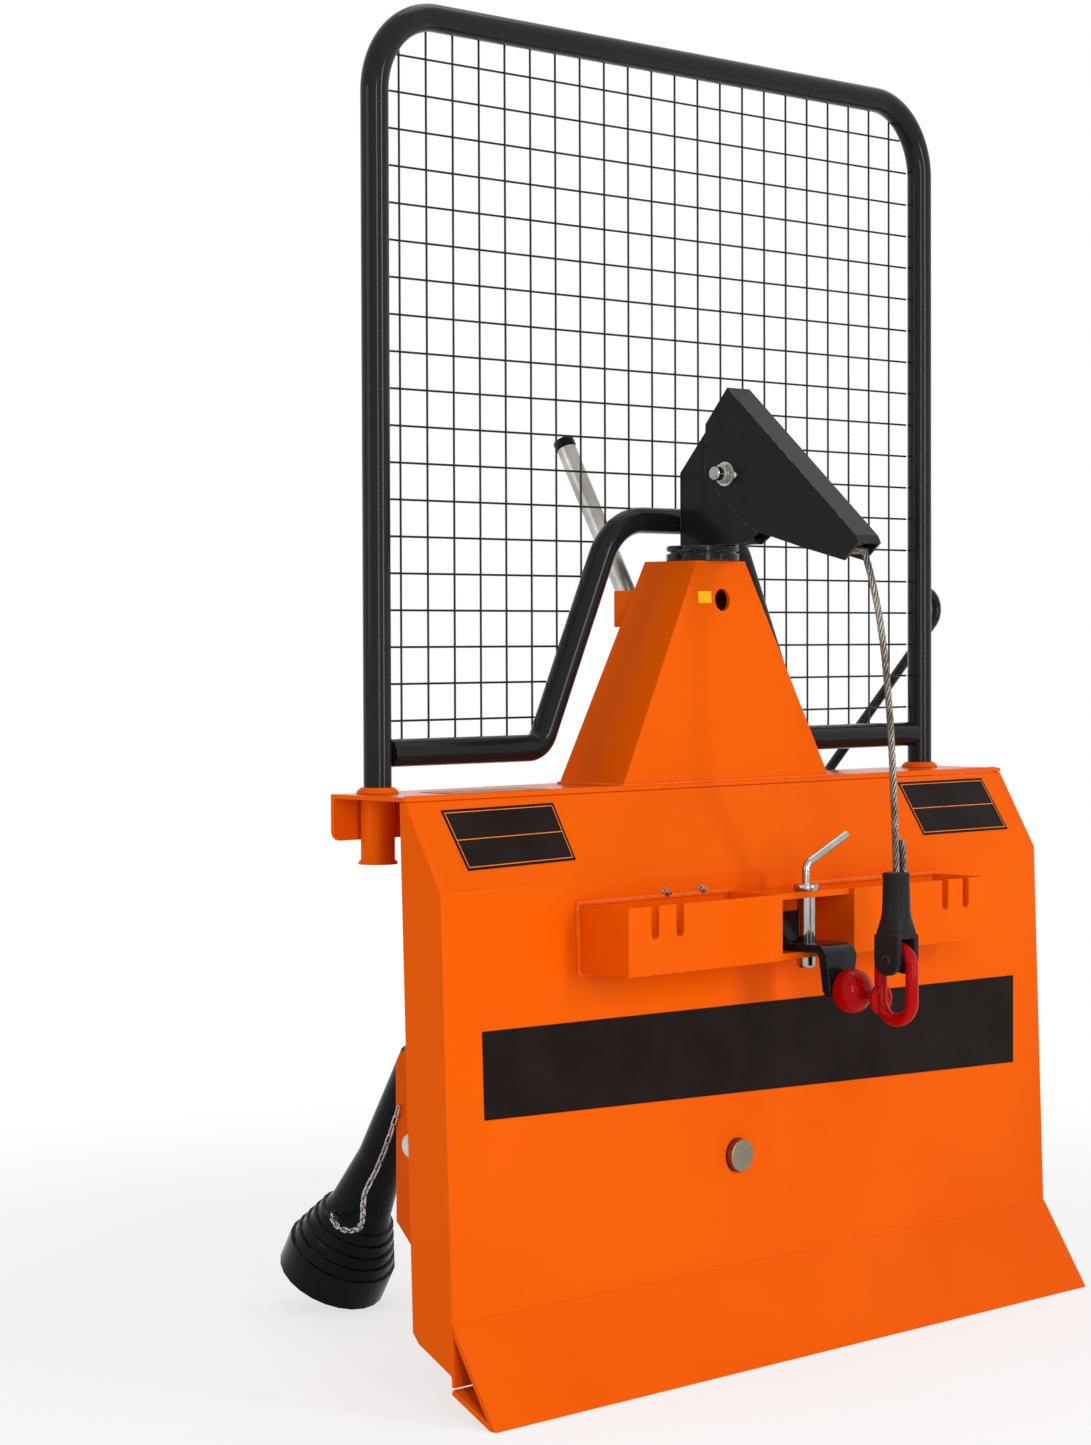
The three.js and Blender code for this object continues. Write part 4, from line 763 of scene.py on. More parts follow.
class Form:
    """Corners and faces of closed bodies, in millimetres."""

    def __init__(self) -> None:
        """Starts empty."""
        self.corners: list[Point] = []
        self.faces: list[tuple[int, ...]] = []

    def add(self, corners: Iterable[Point], faces: Iterable[Sequence[int]]) -> "Form":
        """Adds a body.

        Args:
            corners: its corners.
            faces: its faces, by corner number.

        Returns:
            This form.
        """
        start = len(self.corners)
        self.corners.extend(tuple(corner) for corner in corners)
        self.faces.extend(tuple(start + index for index in face) for face in faces)
        return self

    def prism(self, outline: Sequence[Flat], axis: Axis, low: float, high: float) -> "Form":
        """Adds a flat outline drawn out along an axis.

        Args:
            outline: (Y, Z), (X, Z) or (X, Y) points for the axes X, Y and Z.
            axis: the direction.
            low: where it starts.
            high: where it ends.

        Returns:
            This form.
        """
        count = len(outline)
        corners = [placed_on(axis, u, v, w) for w in (low, high) for u, v in outline]
        walls = [(i, (i + 1) % count, count + (i + 1) % count, count + i) for i in range(count)]
        return self.add(corners, [*walls, tuple(range(count)), tuple(range(count, 2 * count))])

    def block(self, xs: Flat, ys: Flat, zs: Flat) -> "Form":
        """Adds a block between three pairs of limits."""
        return self.prism([(xs[0], ys[0]), (xs[1], ys[0]), (xs[1], ys[1]), (xs[0], ys[1])], Axis.Z, *zs)

    def loft(self, rings: Sequence[tuple[Sequence[Flat], float]]) -> "Form":
        """Adds a body through flat rings of equal count, each at a height.

        Args:
            rings: each ring's (X, Y) points and its Z.

        Returns:
            This form.
        """
        count = len(rings[0][0])
        corners = [(u, v, z) for ring, z in rings for u, v in ring]
        ends = (range(count), range((len(rings) - 1) * count, len(rings) * count))
        faces: list[tuple[int, ...]] = [tuple(end) for end in ends]
        for level in range(len(rings) - 1):
            base, above = level * count, (level + 1) * count
            for i in range(count):
                j = (i + 1) % count
                faces.append((base + i, base + j, above + j, above + i))
        return self.add(corners, faces)

    def turned(self, profile: Sequence[Flat], axis: Axis, centre: Point, sides: int = 48) -> "Form":
        """Adds a profile turned about an axis.

        Args:
            profile: (radius, height) points, from axis to axis or back to the first.
            axis: the direction.
            centre: where radius and height are zero.
            sides: how many sides the round gets.

        Returns:
            This form.
        """
        corners: list[Point] = []
        for radius, height in profile:
            for u, v in circle(radius, sides):
                x, y, z = placed_on(axis, u, v, height)
                corners.append((centre[0] + x, centre[1] + y, centre[2] + z))
        faces = []
        for row in range(len(profile) - 1):
            base = row * sides
            for i in range(sides):
                j = (i + 1) % sides
                faces.append((base + i, base + j, base + sides + j, base + sides + i))
        return self.add(corners, faces)

    def rod(
        self, radius: float, axis: Axis, low: float, high: float, centre: Point,
        sides: int = 48, edge: float = 0.8,
    ) -> "Form":
        """Adds a round bar with eased ends.

        Args:
            radius: its radius.
            axis: its direction.
            low: where it starts from the centre.
            high: where it ends.
            centre: a point on its line.
            sides: how many sides it gets.
            edge: the ease of its ends.

        Returns:
            This form.
        """
        profile = [
            (0, low), (radius - edge, low), (radius, low + edge),
            (radius, high - edge), (radius - edge, high), (0, high)]
        return self.turned(profile, axis, centre, sides)

    def tube(
        self, route: Sequence[Point], radius: float, sides: int = 20, looped: bool = False,
    ) -> "Form":
        """Adds a round bar along a route.

        Args:
            route: its points.
            radius: its radius.
            sides: how many sides it gets.
            looped: True if its end meets its start.

        Returns:
            This form.
        """
        points = [Vector(point) for point in route]
        last = len(points) - 1
        tangents = []
        for index in range(len(points)):
            before = points[index - 1] if index or looped else points[0]
            after = points[(index + 1) % len(points)] if index < last or looped else points[last]
            tangents.append((after - before).normalized())
        side = tangents[0].orthogonal().normalized()
        corners: list[Point] = []
        for point, tangent in zip(points, tangents):
            side = (side - tangent * side.dot(tangent)).normalized()
            other = tangent.cross(side)
            for u, v in circle(radius, sides):
                corners.append(tuple(point + side * u + other * v))
        faces = []
        for row in range(len(points) if looped else last):
            here, there = row * sides, ((row + 1) % len(points)) * sides
            for i in range(sides):
                j = (i + 1) % sides
                faces.append((here + i, here + j, there + j, there + i))
        if not looped:
            faces += [tuple(range(sides)), tuple(range(last * sides, (last + 1) * sides))]
        return self.add(corners, faces)

    def piece(self, name: str) -> bpy.types.Object:
        """Makes the mesh object, in metres, with doubles merged and faces outward.

        Args:
            name: the object's name.

        Returns:
            The object.
        """
        mesh = bpy.data.meshes.new(name)
        mesh.from_pydata(in_metres(self.corners), [], self.faces)
        return settled(bpy.data.objects.new(name, mesh))


def settled(piece: bpy.types.Object, flatten: bool = False) -> bpy.types.Object:
    """Links an object, merges its doubles and turns its faces outward.

    Args:
        piece: the object.
        flatten: True to join the triangles of each flat face.

    Returns:
        The same object.
    """
    if piece.name not in bpy.context.scene.collection.objects:
        bpy.context.scene.collection.objects.link(piece)
    work = bmesh.new()
    work.from_mesh(piece.data)
    bmesh.ops.remove_doubles(work, verts=work.verts, dist=MERGE_REACH * MM)
    if flatten:
        bmesh.ops.dissolve_limit(
            work, angle_limit=math.radians(FLAT_ANGLE), verts=work.verts, edges=work.edges)
    bmesh.ops.recalc_face_normals(work, faces=work.faces)
    work.to_mesh(piece.data)
    work.free()
    return piece


def copied(node: str, name: str) -> bpy.types.Object:
    """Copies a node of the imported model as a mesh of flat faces.

    Args:
        node: the node's name.
        name: the new object's name.

    Returns:
        The copy.
    """
    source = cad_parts[node]
    mesh = source.data.copy()
    mesh.transform(source.matrix_world)
    mesh.materials.clear()
    return settled(bpy.data.objects.new(name, mesh), flatten=True)


def plain(piece: bpy.types.Object) -> bpy.types.Object:
    """Turns an object with modifiers into one with a plain mesh, under the same name.

    Args:
        piece: the object.

    Returns:
        The new object.
    """
    depsgraph = bpy.context.evaluated_depsgraph_get()
    mesh = bpy.data.meshes.new_from_object(piece.evaluated_get(depsgraph), depsgraph=depsgraph)
    name = piece.name
    bpy.data.objects.remove(piece)
    made = bpy.data.objects.new(name, mesh)
    bpy.context.scene.collection.objects.link(made)
    return made


def carved(piece: bpy.types.Object, *tools: bpy.types.Object, keep: bool = False) -> bpy.types.Object:
    """Cuts tools out of a piece, or keeps only what lies in them, and removes the tools.

    Args:
        piece: what is cut.
        tools: what cuts it.
        keep: True to keep what lies in the tools.

    Returns:
        The cut piece, with a plain mesh.
    """
    for tool in tools:
        cutter = piece.modifiers.new("cut", "BOOLEAN")
        cutter.operation = "INTERSECT" if keep else "DIFFERENCE"
        cutter.solver = "EXACT"
        cutter.object = tool
    made = plain(piece)
    for tool in tools:
        bpy.data.objects.remove(tool)
    return made


class Dresser:
    """Gives pieces their finish, edges and body, and reports them."""

    def __init__(self) -> None:
        """Builds the finishes and the trees that pieces are made with."""
        self.looks = Finishes()
        self.ropes = strand_tree()
        self.beads = bead_tree()
        self.bolts = bolt_tree()
        self.links = link_tree()
        self.wires = wire_tree()
        self.rollers = roller_tree()

    def dress(
        self, piece: bpy.types.Object, look: Look, body: Body, stands_for: Sequence[str] = (),
        bevel: float = 0.0, segments: int = 2, smooth: float = 35.0,
    ) -> bpy.types.Object:
        """Finishes a piece.

        Args:
            piece: the object.
            look: its finish and slot.
            body: the body that it rides on.
            stands_for: the CAD nodes that it replaces.
            bevel: the width of its edges' bevel in millimetres, 0 for none.
            segments: the bevel's steps.
            smooth: the angle in degrees over which an edge stays sharp.

        Returns:
            The same piece.
        """
        mesh = piece.data
        if not mesh.materials:
            mesh.materials.append(look.material)
        mesh.shade_smooth()
        mesh.set_sharp_from_angle(angle=math.radians(smooth))
        if bevel > 0:
            edge = piece.modifiers.new("eased edges", "BEVEL")
            edge.width = bevel * MM
            edge.segments = segments
            edge.limit_method = "ANGLE"
            edge.angle_limit = math.radians(BEVEL_ANGLE)
            edge.use_clamp_overlap = True
            edge.harden_normals = True
        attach(piece, body.value)
        if stands_for:
            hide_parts(*stands_for)
        log.info("%s on %s, %d faces", piece.name, body.value, len(mesh.polygons))
        return piece

    def cad_piece(
        self, node: str, name: str, look: Look, body: Body, bevel: float,
        segments: int = 2, smooth: float = 35.0,
    ) -> bpy.types.Object:
        """Copies a CAD node, eases its edges and finishes it.

        Args:
            node: the node.
            name: the piece's name.
            look: its finish and slot.
            body: the body that it rides on.
            bevel: the edges' width.
            segments: the bevel's steps.
            smooth: the angle over which an edge stays sharp.

        Returns:
            The piece.
        """
        return self.dress(copied(node, name), look, body, (node,), bevel, segments, smooth)

    def sheet_metal(self, *nodes: str, bevel: float, segments: int = 3) -> None:
        """Copies orange CAD nodes of the frame.

        Args:
            nodes: the nodes.
            bevel: the edges' width.
            segments: the bevel's steps.
        """
        for node in nodes:
            self.cad_piece(node, f"{node}_painted", self.looks.orange, Body.FRAME, bevel, segments)

    def weld(self, name: str, seams: Sequence[Sequence[Point]], pitch: float, drop: float) -> None:
        """Lays painted weld beads.

        Args:
            name: the piece's name.
            seams: the beads' lines.
            pitch: the distance between two drops.
            drop: a drop's radius.
        """
        look = self.looks.weld
        bead = self.beads.run(name, seams, look.material, Pitch=pitch, Drop_radius=drop)
        self.dress(bead, look, Body.FRAME, smooth=70)

    def rope(
        self, name: str, line: Sequence[Point], radius: float, lay: float, step: float,
    ) -> bpy.types.Object:
        """Lays a stranded rope.

        Args:
            name: the piece's name.
            line: its line.
            radius: its radius.
            lay: the length in which a strand goes round once.
            step: the distance between two points of a strand.

        Returns:
            The piece, not finished yet.
        """
        look = self.looks.rope
        return self.ropes.run(name, [line], look.material, Rope_radius=radius, Lay_length=lay, Step=step)


class Assembly(ABC):
    """A group of the winch's pieces."""

    @abstractmethod
    def build(self, dresser: Dresser) -> None:
        """Makes the pieces.

        Args:
            dresser: finishes them, and holds the trees that some are made with.
        """


# Geometry node trees


class PathTree:
    """A geometry node tree that makes something along the edges of a guide mesh."""

    def __init__(self, name: str, inputs: Sequence[tuple[str, str, object]]) -> None:
        """Starts the tree with its named inputs.

        Args:
            name: the tree's name.
            inputs: each input's name, socket type and default.
        """
        self.tree = bpy.data.node_groups.new(name, "GeometryNodeTree")
        self.tree.interface.new_socket(name="Guide", in_out="INPUT", socket_type="NodeSocketGeometry")
        for label, kind, default in inputs:
            socket = self.tree.interface.new_socket(name=label, in_out="INPUT", socket_type=kind)
            if default is not None:
                socket.default_value = default
        self.tree.interface.new_socket(name="Finish", in_out="INPUT", socket_type="NodeSocketMaterial")
        self.tree.interface.new_socket(name="Made", in_out="OUTPUT", socket_type="NodeSocketGeometry")
        self.w = Wiring(self.tree)
        self.given = self.w.node("NodeGroupInput").outputs
        self.leave = self.w.node("NodeGroupOutput").inputs["Made"]

    def line(self, pitch: object | None = None) -> bpy.types.NodeSocket:
        """Turns the guide into a curve, resampled at a pitch where one is given."""
        curve = self.w.feed(self.w.node("GeometryNodeMeshToCurve"), Mesh=self.given["Guide"]).outputs["Curve"]
        if pitch is None:
            return curve
        sampled = self.w.node("GeometryNodeResampleCurve", mode="LENGTH")
        self.w.feed(sampled, Curve=curve, Length=pitch)
        return sampled.outputs["Curve"]

    def swept(self, curve: object, radius: object, sides: int) -> bpy.types.NodeSocket:
        """Sweeps a circle along a curve.

        Args:
            curve: the curve.
            radius: the circle's radius.
            sides: its sides.

        Returns:
            The mesh.
        """
        profile = self.w.node("GeometryNodeCurvePrimitiveCircle", mode="RADIUS")
        self.w.feed(profile, Resolution=sides, Radius=radius)
        sweep = self.w.node("GeometryNodeCurveToMesh")
        self.w.feed(sweep, Curve=curve, Profile_Curve=profile.outputs["Curve"], Fill_Caps=True)
        return sweep.outputs["Mesh"]

    def close(self, geometry: object) -> None:
        """Ends the tree with Realize Instances and Set Material."""
        w = self.w
        whole = w.feed(w.node("GeometryNodeRealizeInstances"), Geometry=geometry).outputs[0]
        finished = w.feed(w.node("GeometryNodeSetMaterial"), Geometry=whole, Material=self.given["Finish"])
        w.plug(self.leave, finished.outputs[0])

    def along(self, step: object, roll: object | None, unit: object) -> bpy.types.NodeSocket:
        """Instances a unit on each point of the resampled guide, its X along the line.

        Args:
            step: the pitch.
            roll: the turn about the line at each point, or None.
            unit: the geometry that repeats.

        Returns:
            The instances.
        """
        tangent = self.w.node("GeometryNodeInputTangent").outputs[0]
        aligned = self.w.node("FunctionNodeAlignRotationToVector", axis="X")
        self.w.plug(aligned.inputs["Vector"], tangent)
        turn = aligned.outputs["Rotation"]
        if roll is not None:
            local = self.w.node("FunctionNodeRotateRotation", rotation_space="LOCAL")
            euler = self.w.node("ShaderNodeCombineXYZ")
            self.w.plug(euler.inputs[0], roll)
            as_turn = self.w.node("FunctionNodeEulerToRotation")
            self.w.plug(as_turn.inputs[0], euler.outputs[0])
            self.w.plug(local.inputs["Rotation"], turn)
            self.w.plug(local.inputs["Rotate By"], as_turn.outputs[0])
            turn = local.outputs[0]
        copies = self.w.node("GeometryNodeInstanceOnPoints")
        self.w.feed(copies, Points=self.line(step), Instance=unit, Rotation=turn)
        return copies.outputs["Instances"]

    def run(
        self, name: str, routes: Sequence[Sequence[Point]], finish: bpy.types.Material, **values: float,
    ) -> bpy.types.Object:
        """Runs the tree over routes and returns a plain mesh.

        Args:
            name: the piece's name.
            routes: the guide's lines, in millimetres.
            finish: the material.
            values: the inputs by name, with underscores for spaces; lengths in millimetres.

        Returns:
            The piece.
        """
        guide = bpy.data.meshes.new(f"{name}_guide")
        corners: list[Point] = []
        edges: list[tuple[int, int]] = []
        for route in routes:
            start = len(corners)
            corners += in_metres(route)
            edges += [(start + i, start + i + 1) for i in range(len(route) - 1)]
        guide.from_pydata(corners, edges, [])
        piece = bpy.data.objects.new(name, guide)
        bpy.context.scene.collection.objects.link(piece)
        modifier = piece.modifiers.new("made", "NODES")
        modifier.node_group = self.tree
        for item in self.tree.interface.items_tree:
            if item.in_out == "INPUT" and item.name == "Finish":
                modifier[item.identifier] = finish
            elif item.in_out == "INPUT" and item.name.replace(" ", "_") in values:
                modifier[item.identifier] = values[item.name.replace(" ", "_")] * MM
        return plain(piece)


def wire_tree() -> PathTree:
    """Builds the tree for straight round wires.

    Returns:
        The tree.
    """
    made = PathTree("round wires", (("Wire radius", "NodeSocketFloat", 1.5 * MM),))
    made.close(made.swept(made.line(), made.given["Wire radius"], sides=8))
    return made


def strand_tree() -> PathTree:
    """Builds the tree for a rope of strands laid round a core.

    Returns:
        The tree.
    """
    strands, strand_sides, core_sides, strand_share = 6, 7, 6, 0.32
    made = PathTree("rope strands", (
        ("Rope radius", "NodeSocketFloat", 5 * MM), ("Lay length", "NodeSocketFloat", 60 * MM),
        ("Step", "NodeSocketFloat", 2.5 * MM)))
    w = made.w
    line = made.line(made.given["Step"])
    strand = w.math("MULTIPLY", made.given["Rope radius"], strand_share)
    arm = w.math("SUBTRACT", made.given["Rope radius"], strand)
    run = w.node("GeometryNodeSplineParameter").outputs["Length"]
    across = w.node("GeometryNodeInputNormal").outputs[0]
    tangent = w.node("GeometryNodeInputTangent").outputs[0]
    other = w.vector_math("CROSS_PRODUCT", tangent, across).outputs["Vector"]
    turns = w.math("MULTIPLY", w.math("DIVIDE", run, made.given["Lay length"]), 2 * math.pi)
    joined = w.node("GeometryNodeJoinGeometry")
    for index in range(strands):
        angle = w.math("ADD", turns, 2 * math.pi * index / strands)
        parts = [
            w.vector_math("SCALE", way, w.math("MULTIPLY", w.math(wave, angle), arm)).outputs["Vector"]
            for way, wave in ((across, "COSINE"), (other, "SINE"))]
        offset = w.vector_math("ADD", *parts).outputs["Vector"]
        laid = w.feed(w.node("GeometryNodeSetPosition"), Geometry=line, Offset=offset).outputs[0]
        w.plug(joined.inputs[0], made.swept(laid, strand, strand_sides))
    w.plug(joined.inputs[0], made.swept(line, strand, core_sides))
    made.close(joined.outputs[0])
    return made


def link_tree() -> PathTree:
    """Builds the tree for a chain of welded links, each turned a quarter from the last.

    Returns:
        The tree.
    """
    bend_steps, wire_sides, first_turn = 5, 6, math.pi / 5
    made = PathTree("chain links", (
        ("Pitch", "NodeSocketFloat", 12 * MM), ("Link length", "NodeSocketFloat", 16 * MM),
        ("Link width", "NodeSocketFloat", 9 * MM), ("Link wire", "NodeSocketFloat", 1.4 * MM)))
    w = made.w
    outline = w.node("GeometryNodeCurvePrimitiveQuadrilateral", mode="RECTANGLE")
    w.feed(outline, Width=made.given["Link length"], Height=made.given["Link width"])
    bent = w.feed(w.node("GeometryNodeFilletCurve", mode="POLY"), Count=bend_steps, Limit_Radius=True)
    half_width = w.math("MULTIPLY", made.given["Link width"], 0.5)
    w.feed(bent, Curve=outline.outputs["Curve"], Radius=half_width)
    unit = made.swept(bent.outputs["Curve"], made.given["Link wire"], wire_sides)
    index = w.node("GeometryNodeInputIndex").outputs[0]
    roll = w.math("ADD", w.math("MULTIPLY", w.math("MODULO", index, 2.0), math.pi / 2), first_turn)
    made.close(made.along(made.given["Pitch"], roll, unit))
    return made


def bead_tree() -> PathTree:
    """Builds the tree for a weld bead of overlapping drops.

    Returns:
        The tree.
    """
    fineness = 2
    made = PathTree("weld bead", (
        ("Pitch", "NodeSocketFloat", 3 * MM), ("Drop radius", "NodeSocketFloat", 4 * MM)))
    drop = made.w.node("GeometryNodeMeshIcoSphere")
    made.w.feed(drop, Subdivisions=fineness, Radius=made.given["Drop radius"])
    made.close(made.along(made.given["Pitch"], None, drop.outputs["Mesh"]))
    return made


def moved_shape(
    w: Wiring, shape: bpy.types.NodeSocket, turn: Point, shift: Sequence[object],
) -> bpy.types.NodeSocket:
    """Turns a shape and shifts it.

    Args:
        w: the tree's wiring.
        shape: the shape.
        turn: its turn about X, Y and Z.
        shift: its way along X, Y and Z.

    Returns:
        The moved shape.
    """
    way = w.node("ShaderNodeCombineXYZ")
    for socket, part in zip(way.inputs, shift):
        w.plug(socket, part)
    placed = w.node("GeometryNodeTransform")
    w.feed(placed, Geometry=shape, Rotation=turn, Translation=way.outputs[0])
    return placed.outputs[0]


def bolt_tree() -> PathTree:
    """Builds the tree for hexagon bolts on washers, one on each point of the guide, heads along -Y.

    Returns:
        The tree.
    """
    washer_share, washer_height_share, washer_lift_share, head_lift_share = 1.12, 0.3, 0.15, 0.8
    washer_sides, head_sides, thread_sides = 24, 6, 16
    made = PathTree("hexagon bolts", (
        ("Head radius", "NodeSocketFloat", 6 * MM), ("Head height", "NodeSocketFloat", 5 * MM),
        ("Thread radius", "NodeSocketFloat", 3 * MM), ("Thread length", "NodeSocketFloat", 8 * MM)))
    w = made.w
    head, height = made.given["Head radius"], made.given["Head height"]
    thread, length = made.given["Thread radius"], made.given["Thread length"]
    washer = (w.math("MULTIPLY", part, share) for part, share in (
        (head, washer_share), (height, washer_height_share), (height, washer_lift_share)))
    tip = w.math("ADD", height, w.math("MULTIPLY", length, 0.5))
    joined = w.node("GeometryNodeJoinGeometry")
    for sides, radius, depth, lift in (
        (washer_sides, *washer), (head_sides, head, height, w.math("MULTIPLY", height, head_lift_share)),
        (thread_sides, thread, length, tip),
    ):
        barrel = w.feed(w.node("GeometryNodeMeshCylinder"), Vertices=sides, Radius=radius, Depth=depth)
        out = (0.0, w.math("MULTIPLY", lift, -1.0), 0.0)
        w.plug(joined.inputs[0], moved_shape(w, barrel.outputs["Mesh"], (math.pi / 2, 0.0, 0.0), out))
    points = w.feed(w.node("GeometryNodeMeshToPoints"), Mesh=made.given["Guide"]).outputs[0]
    copies = w.feed(w.node("GeometryNodeInstanceOnPoints"), Points=points, Instance=joined.outputs[0])
    made.close(copies.outputs["Instances"])
    return made


def roller_tree() -> PathTree:
    """Builds the tree for a roller chain: a roller on each pin, and side plates between pins.

    Returns:
        The tree.
    """
    roller_sides, plate_length_share, plate_thickness = 12, 1.35, 1.6
    made = PathTree("roller chain", (
        ("Pitch", "NodeSocketFloat", 19 * MM), ("Roller radius", "NodeSocketFloat", 5 * MM),
        ("Roller width", "NodeSocketFloat", 11 * MM), ("Plate height", "NodeSocketFloat", 14 * MM)))
    w = made.w
    pitch, width = made.given["Pitch"], made.given["Roller width"]
    joined = w.node("GeometryNodeJoinGeometry")
    roller = w.node("GeometryNodeMeshCylinder")
    w.feed(roller, Vertices=roller_sides, Radius=made.given["Roller radius"], Depth=width)
    across = (math.pi / 2, 0.0, 0.0)
    w.plug(joined.inputs[0], moved_shape(w, roller.outputs["Mesh"], across, (0.0, 0.0, 0.0)))
    for side in (-1.0, 1.0):
        size = w.node("ShaderNodeCombineXYZ")
        length = w.math("MULTIPLY", pitch, plate_length_share)
        for socket, part in zip(size.inputs, (length, plate_thickness * MM, made.given["Plate height"])):
            w.plug(socket, part)
        plate = w.feed(w.node("GeometryNodeMeshCube"), Size=size.outputs[0])
        beside = (w.math("MULTIPLY", pitch, 0.5), w.math("MULTIPLY", width, 0.5 * side), 0.0)
        w.plug(joined.inputs[0], moved_shape(w, plate.outputs["Mesh"], (0.0, 0.0, 0.0), beside))
    made.close(made.along(pitch, None, joined.outputs[0]))
    return made


# Camera, floor and light


@dataclass(frozen=True)
class Softbox:
    """An area lamp with its width and height, in metres."""

    name: str
    place: Point
    size: Flat
    power: float


@dataclass(frozen=True)
class Studio:
    """The camera, the pale floor and the soft light, in metres."""

    eye: Point = (-3.45627, -2.90629, 1.00991)
    yaw: float = 45.085
    pitch: float = 1.4834
    roll: float = -0.198
    lens: float = 79.588
    sensor: float = 36.0
    target: Point = (0.0, 0.15, 0.8)
    floor_half: float = 60.0
    floor_gap: float = 0.0003
    floor_thickness: float = 0.001
    shadow_reach: float = 1.1
    white_reach: float = 2.6
    ambient: float = 0.56
    paleness: float = 0.68
    paper: float = 0.95
    lamps: tuple[Softbox, ...] = (
        Softbox("left front softbox", (-2.5, -4.0, 1.7), (0.7, 2.6), 56.0),
        Softbox("right front softbox", (0.9, -4.7, 1.9), (0.7, 2.8), 90.0),
        Softbox("side softbox", (-4.6, 1.3, 1.9), (1.8, 1.8), 26.0),
        Softbox("top softbox", (0.9, 0.6, 4.6), (2.0, 2.0), 20.0),
    )

    def camera(self) -> None:
        """Makes the scene's camera."""
        yaw, pitch, roll = (math.radians(angle) for angle in (self.yaw, self.pitch, self.roll))
        ahead = Vector((math.sin(yaw) * math.cos(pitch), math.cos(yaw) * math.cos(pitch), -math.sin(pitch)))
        across = Vector((math.cos(yaw), -math.sin(yaw), 0.0))
        above = across.cross(ahead)
        right = across * math.cos(roll) + above * math.sin(roll)
        up = above * math.cos(roll) - across * math.sin(roll)
        data = bpy.data.cameras.new("photo camera")
        data.lens = self.lens
        data.sensor_width = self.sensor
        camera = bpy.data.objects.new("photo camera", data)
        camera.matrix_world = Matrix.Translation(self.eye) @ Matrix((right, up, -ahead)).transposed().to_4x4()
        bpy.context.scene.collection.objects.link(camera)
        bpy.context.scene.camera = camera
        bpy.context.scene.view_settings.view_transform = "Standard"

    @staticmethod
    def seen(wiring: Wiring) -> bpy.types.NodeSocket:
        """Returns 1 for the rays that show the background: those of the camera, of gloss and of glass."""
        path = wiring.node("ShaderNodeLightPath").outputs
        shown = wiring.math("MAXIMUM", path["Is Camera Ray"], path["Is Glossy Ray"])
        return wiring.math("MAXIMUM", shown, path["Is Transmission Ray"])

    @staticmethod
    def blend(w: Wiring, share: object, parts: Sequence[bpy.types.Node], leave: str) -> None:
        """Mixes two shaders into the surface of a material or world.

        Args:
            w: its wiring.
            share: 0 for the first shader, 1 for the second.
            parts: the two shaders' nodes.
            leave: the type name of the output node.
        """
        mixed = w.node("ShaderNodeMixShader")
        for socket, value in zip(mixed.inputs, (share, *(part.outputs[0] for part in parts))):
            w.plug(socket, value)
        w.plug(w.node(leave).inputs["Surface"], mixed.outputs[0])

    def floor(self) -> None:
        """Makes the floor, which keeps the shadow near the winch and is white further out."""
        half, top, depth = self.floor_half / MM, -self.floor_gap / MM, self.floor_thickness / MM
        piece = Form().block((-half, half), (-half, half), (top - depth, top)).piece("floor")
        material = bpy.data.materials.new("white floor")
        material.use_nodes = True
        material.node_tree.nodes.clear()
        w = Wiring(material.node_tree)
        place = w.node("ShaderNodeTexCoord").outputs["Object"]
        middle = w.vector_math("SUBTRACT", place, self.target).outputs["Vector"]
        flat = w.vector_math("MULTIPLY", middle, (1.0, 1.0, 0.0)).outputs["Vector"]
        away = w.vector_math("LENGTH", flat).outputs["Value"]
        fade = w.node("ShaderNodeMapRange", interpolation_type="SMOOTHSTEP")
        near, far = self.shadow_reach, self.white_reach
        w.feed(fade, Value=away, From_Min=near, From_Max=far, To_Min=self.paleness, To_Max=1.0)
        paper = w.feed(w.node("ShaderNodeBsdfDiffuse"), Color=(self.paper, self.paper, self.paper, 1.0))
        white = w.feed(w.node("ShaderNodeEmission"), Color=(1.0, 1.0, 1.0, 1.0), Strength=1.0)
        share = w.math("MULTIPLY", fade.outputs["Result"], self.seen(w))
        self.blend(w, share, (paper, white), "ShaderNodeOutputMaterial")
        piece.data.materials.append(material)

    def world(self) -> None:
        """Makes the even light of the room, seen as white by the camera."""
        world = bpy.data.worlds.new("white room")
        world.use_nodes = True
        world.node_tree.nodes.clear()
        w = Wiring(world.node_tree)
        parts = [
            w.feed(w.node("ShaderNodeBackground"), Color=(1.0, 1.0, 1.0, 1.0), Strength=strength)
            for strength in (self.ambient, 1.0)]
        self.blend(w, self.seen(w), parts, "ShaderNodeOutputWorld")
        bpy.context.scene.world = world

    def light(self) -> None:
        """Makes the softboxes, aimed at the winch."""
        for box in self.lamps:
            data = bpy.data.lights.new(box.name, "AREA")
            data.shape = "RECTANGLE"
            data.size, data.size_y = box.size
            data.energy = box.power
            lamp = bpy.data.objects.new(box.name, data)
            lamp.location = box.place
            aim = Vector(self.target) - Vector(box.place)
            lamp.rotation_euler = aim.to_track_quat("-Z", "Y").to_euler()
            bpy.context.scene.collection.objects.link(lamp)

    def build(self) -> None:
        """Makes the camera, then the room."""
        self.camera()
        self.floor()
        self.world()
        self.light()


# Wire rope and what hangs on it


